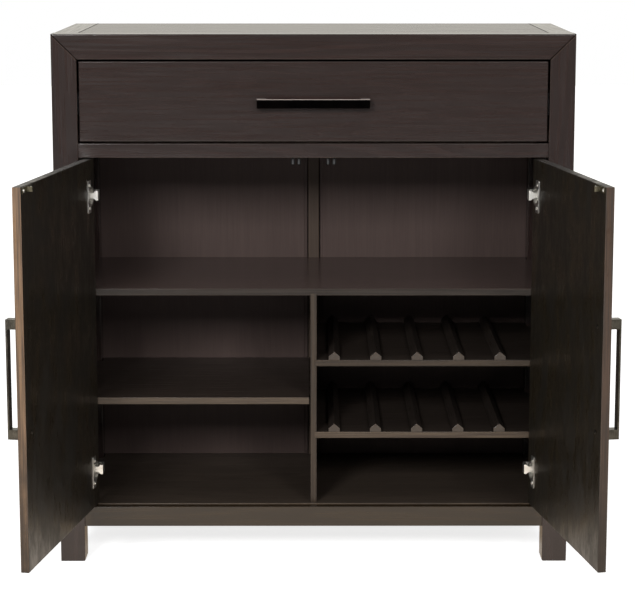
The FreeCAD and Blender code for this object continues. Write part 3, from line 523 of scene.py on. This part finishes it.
# %% [markdown]
# The top panel and the drawer front are what people look at first, so their veneer is laid with the grain
# across the whole width. The drawer front is the livelier of the two: its streaks are short and run in
# small waves. Its edges are dull and hardly worn, or its top edge would draw a bright line under the rail.
# The edges of the top panel are dark, because lacquer and dust gather in the joint round it.

# %% The top and the drawer front
DRAWER_EDGE = 0.5 * MM

top = wood(
    "stained_top", FRAME_DARK, FRAME_LIGHT, "X", fine=0.6, rough=0.22, edge_tone=SEAM_DARK, seam=top_line,
    seed=9.0,
)
drawer_veneer = wood(
    "drawer_veneer", FRAME_DARK, FRAME_LIGHT, "X", rings=13.0, arch=0.1, streaky=0.34, fine=0.8, wavy=True,
    edge_rough=0.9, soft=DRAWER_EDGE, edge_tone=WEAR_AND_HIGHLIGHT_BROWN, edge_strength=0.2,
)
dress(top, "top_panel")
dress(drawer_veneer, "drawer_front")
print("top and drawer front done")

# %% [markdown]
# The doors are boards with upright veneer on both faces and a strip of real wood round the edge. The outer
# face has the finish of the frame. The inner face was stained by hand and lacquered thinly, so it is
# darker, duller and a little mottled. The strip is a lighter brown, which shows on the free edges of the
# open doors, and the two strips came from different wood. The construction model has the doors open, so
# the directions of these faces are turned by the same angle.

# %% The doors
DOOR_OPEN = math.radians(100)
DOOR_DARK = srgb(21, 18, 13)
DOOR_LIGHT = srgb(37, 31, 22)
OUTSIDE_ROUGH = 0.19
# Two stain tones for each strip, and a third, darker one: a painted shade near the floor.
STRIP_TONES_AND_SHADE = {
    "left": (srgb(66, 50, 36), srgb(116, 90, 66), srgb(20, 14, 7)),
    "right": (srgb(38, 28, 20), srgb(64, 47, 35), srgb(24, 16, 8)),
}

for side, hand in (("left", 1), ("right", -1)):
    free_edge = (hand * math.cos(DOOR_OPEN), -math.sin(DOOR_OPEN), 0)
    outer_face = (-hand * math.sin(DOOR_OPEN), -math.cos(DOOR_OPEN), 0)
    veneer = wood(
        "door_veneer_" + side, DOOR_DARK, DOOR_LIGHT, "Z", mottle=0.4, fine=0.9, rough=0.36, gloss=0.42,
        edge_tone=WEAR_AND_HIGHLIGHT_BROWN, edge_strength=0.7, lip=(free_edge, *STRIP_TONES_AND_SHADE[side]),
        outside=(outer_face, FRAME_DARK, FRAME_LIGHT, OUTSIDE_ROUGH), seed=hand * 5.0,
    )
    dress(veneer, "door_" + side)
    print(side, "door done")

# %% [markdown]
# Inside, the boards have a thin stain that shines less than the frame. The backs hardly shine at all, so
# they look lightest where the lamps reach them, low in each bay, and fade to black under each shelf. The
# shelves and the divider shine a little more. Their front edges are strips of real wood in three tones, so
# some shelves draw a lighter line across the dark case than others.

# %% The boards inside
FRONT = (0, -1, 0)
INSIDE_TONES = (srgb(56, 45, 42), srgb(82, 69, 65))
STILE_TONES = (srgb(54, 45, 39), srgb(78, 66, 57))
LOW_TONES = (srgb(37, 31, 27), srgb(55, 47, 42))
BOTTOM_TONES = (srgb(44, 38, 33), srgb(66, 57, 49))
# The bottle shelves and ridges take darker tones, a painted shade for the deep bottle bays.
BOTTLE_SHADE_TONES = (srgb(30, 25, 22), srgb(50, 43, 38))
PALE_LIP = (FRONT, srgb(52, 42, 34), srgb(76, 64, 51))
FAIR_LIP = (FRONT, srgb(38, 30, 23), srgb(56, 45, 34))
DEEP_LIP = (FRONT, srgb(31, 25, 20), srgb(44, 36, 30))
INSIDE_FINISH = {"arch": 0.15, "fine": 0.35, "rough": 0.3, "edge_tone": FRAME_LIGHT, "edge_strength": 0.4}
DULL_FINISH = {"arch": 0.05, "streaky": 0.15, "gloss": 0.12, "rough": 0.5}


def board(name, along, lip=PALE_LIP, tones=INSIDE_TONES, **finish):
    return wood("stained_" + name, *tones, along, lip=lip, **{**INSIDE_FINISH, **finish})


middle = board("middle_shelf", "X", DEEP_LIP, gloss=0.25, rough=0.2, seed=2.5)
adjustable = board("adjustable_shelf", "X", PALE_LIP, LOW_TONES, gloss=0.3)
bottom = board("bottom_board", "X", PALE_LIP, BOTTOM_TONES, gloss=0.3, seed=1.5)
upper_bottles = board("upper_bottle_shelf", "X", FAIR_LIP, BOTTLE_SHADE_TONES, gloss=0.28)
lower_bottles = board("lower_bottle_shelf", "X", PALE_LIP, BOTTLE_SHADE_TONES, gloss=0.28, seed=3.5)
ridges = board("ridges", "Y", FAIR_LIP, BOTTLE_SHADE_TONES, seed=6.0)
divider = board("divider", "Z", FAIR_LIP, gloss=0.3)
backs = board("backs", "Z", None, seed=3.0, **DULL_FINISH)
stile = board("stile", "Z", None, STILE_TONES, seed=3.5, seam=stile_line, **DULL_FINISH)
dress(middle, "middle_shelf")
dress(adjustable, "adjustable_shelf")
dress(bottom, "bottom_board")
dress(upper_bottles, "bottle_shelf_upper")
dress(lower_bottles, "bottle_shelf_lower")
dress(ridges, "bottle_rails_upper", "bottle_rails_lower")
dress(divider, "centre_divider")
dress(backs, *both("back_panel"))
dress(stile, "back_centre_stile")
print("inside done")

# %% [markdown]
# The drawer box shows only when the drawer is out. It is stained thinly and keeps more of the pale wood,
# with a dull surface. The grain runs along each board, so the sides and the cross pieces need a finish
# each. The same network as for the frame does this with paler tones and more roughness.

# %% The drawer box
BOX_TONES = (srgb(52, 42, 35), srgb(84, 70, 58))
BOX_ROUGH = 0.55

box_sides = wood("drawer_box_sides", *BOX_TONES, "Y", rough=BOX_ROUGH, edge_tone=WEAR_AND_HIGHLIGHT_BROWN, seed=1.0)
box_cross = wood("drawer_box_cross", *BOX_TONES, "X", rough=BOX_ROUGH, edge_tone=WEAR_AND_HIGHLIGHT_BROWN, seed=8.0)
dress(box_sides, *both("drawer_side"))
dress(box_cross, "drawer_back", "drawer_floor")
print("drawer box done")

# %% [markdown]
# Every metal here is the same network with other numbers: a metal shader whose tint wanders between two
# tones in small clouds, and whose roughness follows a finer pattern. Drawn out along one axis, the fine
# pattern gives brush marks. Edges take the second tone, because that is where a coat wears first.

# %% A finish for metal
METAL_EDGE = 0.35 * MM
TINT_PATTERN = {"scale": 45.0, "detail": 2.0}
TINT_RANGE = (0.35, 0.7)
EDGE_TINT_SHARE = 0.35
BRUSH_PATTERN = {"scale": 22.0, "detail": 3.0, "roughness": 0.6}
BRUSH_RANGE = (0.3, 0.7)
ROUGH_SHARES = (0.8, 1.25)
METAL_BUMP = 0.3
METAL_BUMP_DEPTH = 0.03 * MM
EVEN = (60.0, 60.0, 60.0)
BRUSHED_X = (1.0, 40.0, 40.0)
BRUSHED_Y = (40.0, 1.0, 40.0)
BRUSHED_Z = (40.0, 40.0, 1.0)
# A pale grey for a painted highlight along an edge of metal.
PAINTED_HIGHLIGHT_GREY = srgb(150, 140, 134)


def metal(name, colour, second, rough, brushed=EVEN, metallic=1.0, painted_highlight=None):
    """The last argument masks a painted highlight: a pale grey line standing in for light on an edge."""
    material, tree, shader = new_material(name)
    fine_space = add(tree, "ShaderNodeMapping", Vector=places(tree), Scale=brushed).outputs[0]
    fine = noise(tree, fine_space, **BRUSH_PATTERN)
    cloud = noise(tree, places(tree), **TINT_PATTERN)
    edges, soft_normal = edge_mask(tree, METAL_EDGE)
    tint = mix(tree, band(tree, cloud, *TINT_RANGE), colour, second)
    tint = mix(tree, calc(tree, "MULTIPLY", edges, EDGE_TINT_SHARE), tint, second)
    shader.inputs["Metallic"].default_value = metallic
    if painted_highlight:
        # The painted highlight: a pale grey line, not metal, where the mask is 1.
        line = painted_highlight(tree)
        tint = mix(tree, line, tint, PAINTED_HIGHLIGHT_GREY)
        plug(tree, shader.inputs["Metallic"], calc(tree, "SUBTRACT", metallic, line))
    plug(tree, shader.inputs["Base Color"], tint)
    roughness = band(tree, fine, *BRUSH_RANGE, *(rough * share for share in ROUGH_SHARES))
    plug(tree, shader.inputs["Roughness"], roughness)
    bump = add(
        tree, "ShaderNodeBump", Strength=METAL_BUMP, Distance=METAL_BUMP_DEPTH, Height=fine,
        Normal=soft_normal,
    )
    plug(tree, shader.inputs["Normal"], bump.outputs[0])
    return material


print("metal finish ready")

# %% [markdown]
# The handles are steel bars in a dark bronze coat, brushed along their length. The drawer's is nearly
# black, with a painted highlight along its top edge: a pale grey line that stands in for the light on that
# edge. The doors' are the same bronze in a lighter copy, painted to stand in for the light they catch.
# The hinges are nickel plated, and the slides are grey sheet steel with marks along their run. The bodies
# of the catches and the shelf pins are dark and dull, the strikes on the doors a yellowish steel. The
# rollers are black nylon, which the same network gives with no metal in it. The plain screws are hidden
# further down.

# %% Handles, hinges, slides and catches
HANDLE_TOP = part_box("drawer_handle")[1][2]
# The band of the painted highlight along the top edge of the drawer's bar.
PAINTED_HIGHLIGHT_RANGE = (HANDLE_TOP - 1.7 * MM, HANDLE_TOP - 0.4 * MM)


def drawer_painted_highlight(tree):
    """1 along the painted highlight on the top edge of the drawer's bar, and 0 below it."""
    return band(tree, sideways(tree)[1], *PAINTED_HIGHLIGHT_RANGE)


bronze_with_painted_highlight = metal(
    "dark_bronze_painted_highlight", srgb(15, 12, 12), srgb(22, 18, 17), rough=0.14, brushed=BRUSHED_X, painted_highlight=drawer_painted_highlight,
)
# The doors' handles: the drawer's bronze in a lighter copy, painted to stand in for the light they catch.
painted_lighter_bronze = metal(
    "bronze_upright_painted_lighter", srgb(62, 59, 53), srgb(86, 82, 74), rough=0.28, brushed=BRUSHED_Z,
)
nickel = metal("bright_nickel", srgb(214, 213, 208), srgb(232, 230, 226), rough=0.34)
slide_steel = metal("slide_steel", srgb(66, 66, 68), srgb(94, 94, 97), rough=0.4, brushed=BRUSHED_Y)
dull_steel = metal("dull_steel", srgb(24, 22, 18), srgb(38, 34, 28), rough=0.6)
strike_steel = metal("strike_steel", srgb(74, 70, 58), srgb(108, 102, 84), rough=0.4)
nylon = metal("black_nylon", srgb(20, 20, 21), srgb(34, 34, 35), rough=0.45, metallic=0.0)
dress(bronze_with_painted_highlight, "drawer_handle")
dress(painted_lighter_bronze, *both("door_handle"))
dress(nickel, "hinge_arms", "hinge_plates", "hinge_pins", *both("hinge_cups"))
dress(nickel, "case_screws", "drawer_screws", *both("door_screws"))
dress(slide_steel, *both("slide_outer"), *both("slide_middle"), *both("slide_inner"))
dress(dull_steel, "catch_bodies", "shelf_pins")
dress(strike_steel, *both("catch_strike"))
dress(nylon, *both("catch_roller_outer"), *both("catch_roller_inner"))
print("metals done")

# %% [markdown]
# The construction model keeps its screws plain. A real screw here has a domed head with a cross recess,
# and it tapers to a point inside the wood. New screws are drawn in their places. Place, direction and size
# come from each plain screw: its corners lie on three levels, and the two that are close together are the
# top and bottom of its head.

# %% Find the plain screws
WELD = 0.01 * MM
PLACE_DIGITS = 4
LEVEL_DIGITS = 5


def loose_parts(mesh):
    """The separate solids of a mesh, each as an array of its corners, in the order of their middles."""
    built = bmesh.new()
    built.from_mesh(mesh)
    bmesh.ops.remove_doubles(built, verts=built.verts, dist=WELD)
    left = set(built.verts)
    found = []
    while left:
        reached = [left.pop()]
        corners = []
        while reached:
            corner = reached.pop()
            corners.append(tuple(corner.co))
            near = {edge.other_vert(corner) for edge in corner.link_edges} & left
            left -= near
            reached += near
        found.append(np.array(corners))
    built.free()
    return sorted(found, key=lambda part: tuple(np.round(part.mean(axis=0), PLACE_DIGITS)))


def plain_screw(corners):
    """Seat, outward direction, head radius, head height and length of a plain screw."""
    middle = corners.mean(axis=0)
    spine = np.linalg.svd(corners - middle)[2][0]
    levels = sorted(set(np.round((corners - middle) @ spine, LEVEL_DIGITS)))
    if levels[1] - levels[0] < levels[2] - levels[1]:
        spine = -spine
        levels = [-level for level in reversed(levels)]
    tip, seat, crown = levels
    from_spine = corners - middle - np.outer((corners - middle) @ spine, spine)
    radius = np.linalg.norm(from_spine, axis=1).max()
    return middle + spine * seat, spine, radius, crown - seat, seat - tip


print(len(loose_parts(nodes["case_screws"].data)), "screws in the case")

# %% [markdown]
# One outline, turned round its axis, draws the whole screw: a dome that gets steeper towards its edge, a
# flat underside, the shank and the point. The cross is pushed into the dome afterwards, by lowering the
# corners that lie inside its arms. That needs many corners round the head, but no cutting, so the mesh
# stays clean.

# %% Draw a screw with a cross recess
SCREW_SIDES = 32
HEAD_STEPS = 12
SHANK_RINGS = 3
DOME_POWER = 2.5
EDGE_SHARE = 0.35
CROSS_REACH_SHARE = 0.62
CROSS_HALF_WIDTH_SHARE = 0.15
CROSS_DEPTH_SHARE = 0.62
SHANK_SHARE = 0.5
POINT_SHARE = 0.8


def screw_outline(radius, crown, length):
    """Distance from the axis and height of each ring, from the middle of the head down to the point."""
    outline = []
    for step in range(1, HEAD_STEPS + 1):
        out = step / HEAD_STEPS
        outline.append((radius * out, crown * (1 - (1 - EDGE_SHARE) * out ** DOME_POWER)))
    shank = radius * SHANK_SHARE
    return outline + [(radius, 0), (shank, 0), (shank, -length * POINT_SHARE)]


def screw_points(seat, outward, radius, crown, length):
    """The middle of the head, rings of points over its edge and down the shank, and the tip."""
    seat, outward = Vector(seat), Vector(outward)
    side = outward.orthogonal().normalized()
    other = outward.cross(side)
    depth = crown * CROSS_DEPTH_SHARE
    points = [seat + outward * (crown - depth)]
    for out, up in screw_outline(radius, crown, length):
        for number in range(SCREW_SIDES):
            angle = FULL_TURN * number / SCREW_SIDES
            u, v = out * math.cos(angle), out * math.sin(angle)
            in_arm = min(abs(u), abs(v)) < CROSS_HALF_WIDTH_SHARE * radius
            sunk = depth if in_arm and out < CROSS_REACH_SHARE * radius and up > 0 else 0
            points.append(seat + side * u + other * v + outward * (up - sunk))
    points.append(seat - outward * length)
    return points


def ring_faces(first, rings, sides):
    """Faces over rings of points, closed by a middle point before the first ring and one after the last."""
    last = first + 1 + (rings - 1) * sides
    faces = [(first, first + 1 + n, first + 1 + (n + 1) % sides) for n in range(sides)]
    for low in range(first + 1, last, sides):
        for n in range(sides):
            after = (n + 1) % sides
            faces.append((low + n, low + sides + n, low + sides + after, low + after))
    faces += [(last + n, last + sides, last + (n + 1) % sides) for n in range(sides)]
    return faces


print((HEAD_STEPS + SHANK_RINGS) * SCREW_SIDES + 2, "corners on a screw")

# %% [markdown]
# A new piece rides on a moving group, so that it goes where its door or drawer goes. Each screw could be a
# piece of its own, but that would be a long list, so all screws of one group are one piece. The screws that
# hold the handles have wider heads than the others and a black finish, so each face is marked with the
# finish it takes.

# %% Replace the plain screws
HANDLE_SCREW_FROM = 3.6 * MM


def make_piece(name, points, faces, body, materials, marks=None):
    """A new piece that rides on a body. marks says which of the materials each face takes."""
    mesh = bpy.data.meshes.new(name)
    mesh.from_pydata([tuple(point) for point in points], [], faces)
    for material in materials:
        mesh.materials.append(material)
    mesh.polygons.foreach_set("material_index", marks or [0] * len(faces))
    mesh.validate()
    piece = bpy.data.objects.new(name, mesh)
    bpy.context.scene.collection.objects.link(piece)
    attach(piece, body)
    return piece


def cross_screws(name, screws, body, materials, dark_above=math.inf):
    """All screws of one group. Heads with a radius above dark_above take the second material."""
    points, faces, marks = [], [], []
    for screw in screws:
        new_faces = ring_faces(len(points), HEAD_STEPS + SHANK_RINGS, SCREW_SIDES)
        points += screw_points(*screw)
        faces += new_faces
        marks += [int(screw[2] > dark_above)] * len(new_faces)
    return make_piece(name, points, faces, body, materials, marks)


black_steel = metal("black_screw_steel", srgb(34, 32, 30), srgb(52, 49, 45), rough=0.35)

for node, body in (
    ("case_screws", "case"), ("drawer_screws", "drawer"),
    ("door_screws_left", "door_left"), ("door_screws_right", "door_right"),
):
    screws = [plain_screw(part) for part in loose_parts(nodes[node].data)]
    finishes = (nickel, black_steel)
    piece = cross_screws(node + "_cross", screws, body, finishes, HANDLE_SCREW_FROM)
    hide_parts(node)
    print(node, len(screws), "screws drawn")

# %% [markdown]
# Each hinge arm is held to its plate by one larger screw, which also sets the door's depth. It is drawn
# with the same outline as the others. It sits on the flat of the arm behind the bend, and its place comes
# from the corners of the arm's own solid, so it stays there if the hinges move.

# %% Screws on the hinge arms
ARM_SCREW_RADIUS = 3.4 * MM
ARM_SCREW_CROWN = 1.3 * MM
ARM_SCREW_FROM_END = 6.5 * MM
ARM_SCREW_LENGTH = 5.0 * MM
ARM_FLAT = 10.5 * MM

arm_screws = []
for arm in loose_parts(nodes["hinge_arms"].data):
    low, high = arm.min(axis=0), arm.max(axis=0)
    inwards = -math.copysign(1, arm[:, 0].mean())
    seat = (inwards * (ARM_FLAT - POST_INSIDE), high[1] - ARM_SCREW_FROM_END, (low[2] + high[2]) / 2)
    arm_screws.append((seat, (inwards, 0, 0), ARM_SCREW_RADIUS, ARM_SCREW_CROWN, ARM_SCREW_LENGTH))
cross_screws("hinge_arm_screws", arm_screws, "case", (nickel,))
print(len(arm_screws), "arm screws drawn")

# %% [markdown]
# The slides run on steel balls, which show when the drawer is out. Two rows run between the outer and the
# middle member, in the half that stays inside the case, and two between the middle and the inner member,
# in the half that comes out. Each row sits in a thin cage, drawn as a strip through the balls, because its
# cut-outs are hidden by them. All of them travel with the middle member.

# %% A row of balls in its cage
BALL_RADIUS = 1.5 * MM
BALL_PITCH = 12 * MM
BALLS_IN_ROW = 13
BALL_SIDES = 12
BALL_RINGS = 6
CAGE_HALF_THICKNESS = 0.25 * MM
CAGE_HALF_WIDTH = 1.3 * MM
CAGE_SIDES = ((0, 1, 3, 2), (4, 6, 7, 5), (0, 4, 5, 1), (2, 3, 7, 6), (0, 2, 6, 4), (1, 5, 7, 3))


def ball_points(centre):
    """The near pole of a ball, rings of points round the Y axis, and the far pole."""
    points = [centre - Vector((0, BALL_RADIUS, 0))]
    for ring in range(1, BALL_RINGS + 1):
        slant = math.pi * ring / (BALL_RINGS + 1)
        for side in range(BALL_SIDES):
            angle = FULL_TURN * side / BALL_SIDES
            across, up = math.cos(angle) * math.sin(slant), math.sin(angle) * math.sin(slant)
            points.append(centre + BALL_RADIUS * Vector((across, -math.cos(slant), up)))
    return points + [centre + Vector((0, BALL_RADIUS, 0))]


def ball_row(points, faces, x, z, start):
    """Balls on a line along Y, joined by a thin strip."""
    for number in range(BALLS_IN_ROW):
        faces += ring_faces(len(points), BALL_RINGS, BALL_SIDES)
        points += ball_points(Vector((x, start + number * BALL_PITCH, z)))
    first = len(points)
    for y in (start - BALL_PITCH / 2, start + (BALLS_IN_ROW - 1 / 2) * BALL_PITCH):
        for across in (-CAGE_HALF_WIDTH, CAGE_HALF_WIDTH):
            for up in (-CAGE_HALF_THICKNESS, CAGE_HALF_THICKNESS):
                points.append(Vector((x + across, y, z + up)))
    faces += [tuple(first + corner for corner in quad) for quad in CAGE_SIDES]


print("a row is", round(BALLS_IN_ROW * BALL_PITCH / MM), "mm long")

# %% [markdown]
# The rows lie where the folded edges of the members leave room for them. Both numbers of a row are taken
# from the construction of the slides: how far it lies in from the post, and how far above and below the
# middle line.

# %% Balls in the slides
ROW_INSET = 12 * MM
OUTER_ROW = (7.4 * MM, 19.4 * MM)
INNER_ROW = (8.2 * MM, 14.55 * MM)

for side, hand in (("left", -1), ("right", 1)):
    low, high = (Vector(corner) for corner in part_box("slide_middle_" + side))
    line = (low.z + high.z) / 2
    outer_start = high.y - ROW_INSET - BALLS_IN_ROW * BALL_PITCH
    inner_start = low.y + ROW_INSET
    points, faces = [], []
    for (depth_in, rise), start in ((OUTER_ROW, outer_start), (INNER_ROW, inner_start)):
        for up in (-1, 1):
            ball_row(points, faces, hand * (POST_INSIDE - depth_in), line + up * rise, start)
    make_piece("slide_balls_" + side, points, faces, "slide_middle_" + side, (nickel,))
    print(side, "slide has", len(points), "corners on its balls and cages")

# %% [markdown]
# The room is a plain white sky, which the camera sees as pure white. White walls could be built instead,
# but they would throw as much light on the cabinet as they show to the camera. Here the light that falls
# on the cabinet is much lower, as when a backdrop has lamps of its own. Gloss sees a third version, bright
# behind the cabinet and dark in front of it, where the dark half of the studio is. The shader can tell
# these apart, because it knows what kind of ray has met it.

# %% The room
ROOM_LIGHT = 0.2
ROOM_TINT = (0.88, 0.85, 0.77, 1)
DARK_SIDE = 0.12
DARK_SIDE_RANGE = (-0.6, 0.1)
BLACK = (0, 0, 0, 1)
WHITE = (1, 1, 1, 1)


def rays(tree):
    """1 for what the camera sees, straight or through glass, and 1 for what gloss sees."""
    path = tree.nodes.new("ShaderNodeLightPath")
    seen = calc(tree, "MAXIMUM", path.outputs["Is Camera Ray"], path.outputs["Is Transmission Ray"])
    return seen, path.outputs["Is Glossy Ray"]


def make_room():
    world = bpy.data.worlds.new("room")
    bpy.context.scene.world = world
    world.use_nodes = True
    tree = world.node_tree
    seen, glossy = rays(tree)
    direction = tree.nodes.new("ShaderNodeTexCoord").outputs["Generated"]
    backwards = add(tree, "ShaderNodeSeparateXYZ", Vector=direction).outputs["Y"]
    shine = mix(tree, band(tree, backwards, *DARK_SIDE_RANGE, DARK_SIDE, 1.0), BLACK, ROOM_TINT)
    level = mix(tree, glossy, (ROOM_LIGHT, ROOM_LIGHT, ROOM_LIGHT, 1), shine)
    level = mix(tree, seen, level, WHITE)
    plug(tree, tree.nodes["Background"].inputs["Color"], level)


make_room()
print("room light", ROOM_LIGHT, "of what the camera sees")

# %% [markdown]
# The floor is pale and runs to the horizon. It glows a little for the camera, so that it reads as white
# with the cabinet's shadow still on it, and more far away, where it has to meet the white of the room with
# no line. Gloss sees a warm glow on the stretch in front of the cabinet, which the upright faces mirror at
# this angle, so they look a little lighter and warmer, as in the picture. The glow is weaker near the feet
# and weakest under the case, where a real floor lies in shadow.

# %% The floor
FLOOR_HALF = 12.0
FLOOR_TONE = (0.82, 0.82, 0.82, 1)
FLOOR_ROUGH = 0.7
FLOOR_GLOW = 0.78
FAR_GLOW = 1.0
FAR_RANGE = (0.9, 1.8)
GLOSS_TINT = (0.95, 0.7, 0.45, 1)
IN_FRONT_RANGE = (-2.6, -0.7)
FEET_GLOW = 0.75
FEET_RANGE = (-0.15, -0.75)
UNDER_GLOW = 0.6
UNDER_RANGE = (0.06, -0.04)


def floor_glow(tree):
    """How much the floor glows for the camera and for gloss, and its tint for each."""
    seen, glossy = rays(tree)
    spot = places(tree)
    away = vector_calc(tree, "LENGTH", spot)["Value"]
    depth = add(tree, "ShaderNodeSeparateXYZ", Vector=spot).outputs["Y"]
    for_camera = calc(tree, "MULTIPLY", seen, band(tree, away, *FAR_RANGE, FLOOR_GLOW, FAR_GLOW))
    near = band(tree, depth, *IN_FRONT_RANGE, 0.0, FLOOR_GLOW)
    near = calc(tree, "MULTIPLY", near, band(tree, depth, *FEET_RANGE, FEET_GLOW, 1.0))
    near = calc(tree, "MULTIPLY", near, band(tree, depth, *UNDER_RANGE, UNDER_GLOW, 1.0))
    strength = calc(tree, "MAXIMUM", for_camera, calc(tree, "MULTIPLY", glossy, near))
    return strength, mix(tree, glossy, WHITE, GLOSS_TINT)


def make_floor():
    mesh = bpy.data.meshes.new("floor")
    corners = [(x * FLOOR_HALF, y * FLOOR_HALF, 0) for x, y in ((-1, -1), (1, -1), (1, 1), (-1, 1))]
    mesh.from_pydata(corners, [], [(0, 1, 2, 3)])
    floor = bpy.data.objects.new("floor", mesh)
    bpy.context.scene.collection.objects.link(floor)
    material, tree, shader = new_material("pale_floor")
    shader.inputs["Base Color"].default_value = FLOOR_TONE
    shader.inputs["Roughness"].default_value = FLOOR_ROUGH
    strength, tint = floor_glow(tree)
    glow = add(tree, "ShaderNodeEmission", Color=tint, Strength=strength)
    lit_and_glowing = tree.nodes.new("ShaderNodeAddShader")
    plug(tree, lit_and_glowing.inputs[0], shader.outputs[0])
    plug(tree, lit_and_glowing.inputs[1], glow.outputs[0])
    plug(tree, tree.nodes["Material Output"].inputs["Surface"], lit_and_glowing.outputs[0])
    mesh.materials.append(material)


make_floor()
print("floor", 2 * FLOOR_HALF, "m wide")

# %% [markdown]
# The lamps: two soft boxes in front, left and right of the camera and about a metre above it, so that
# their light passes under the drawer rail and reaches the lower part of the back. The left one is the
# stronger. One wide lamp would light the front as evenly, but these are narrow enough to leave shadows
# beside the open doors, as in the picture. A weak one overhead lights the top. None shows itself to the
# camera.

# %% Lamps
CASE_MIDDLE = (0, 0.1, 0.6)
FRONT_LAMP_SIZE = (0.9, 1.0)


def soft_box(name, place, target, size, watts):
    data = bpy.data.lights.new(name, "AREA")
    data.shape = "RECTANGLE"
    data.size = size[0]
    data.size_y = size[1]
    data.energy = watts
    lamp = bpy.data.objects.new(name, data)
    lamp.location = place
    lamp.rotation_euler = (Vector(target) - Vector(place)).to_track_quat("-Z", "Y").to_euler()
    lamp.visible_camera = False
    bpy.context.scene.collection.objects.link(lamp)


soft_box("left_lamp", (-1.5, -4.2, 2.35), CASE_MIDDLE, FRONT_LAMP_SIZE, watts=185)
soft_box("right_lamp", (1.6, -4.2, 2.35), CASE_MIDDLE, FRONT_LAMP_SIZE, watts=92)
soft_box("top_lamp", (0.0, -0.9, 3.6), target=(0, 0, 1.0), size=(2.4, 1.6), watts=22)
print("three lamps")

# %% [markdown]
# Last, the scene is brought up to date.

# %% Finish
bpy.context.view_layer.update()
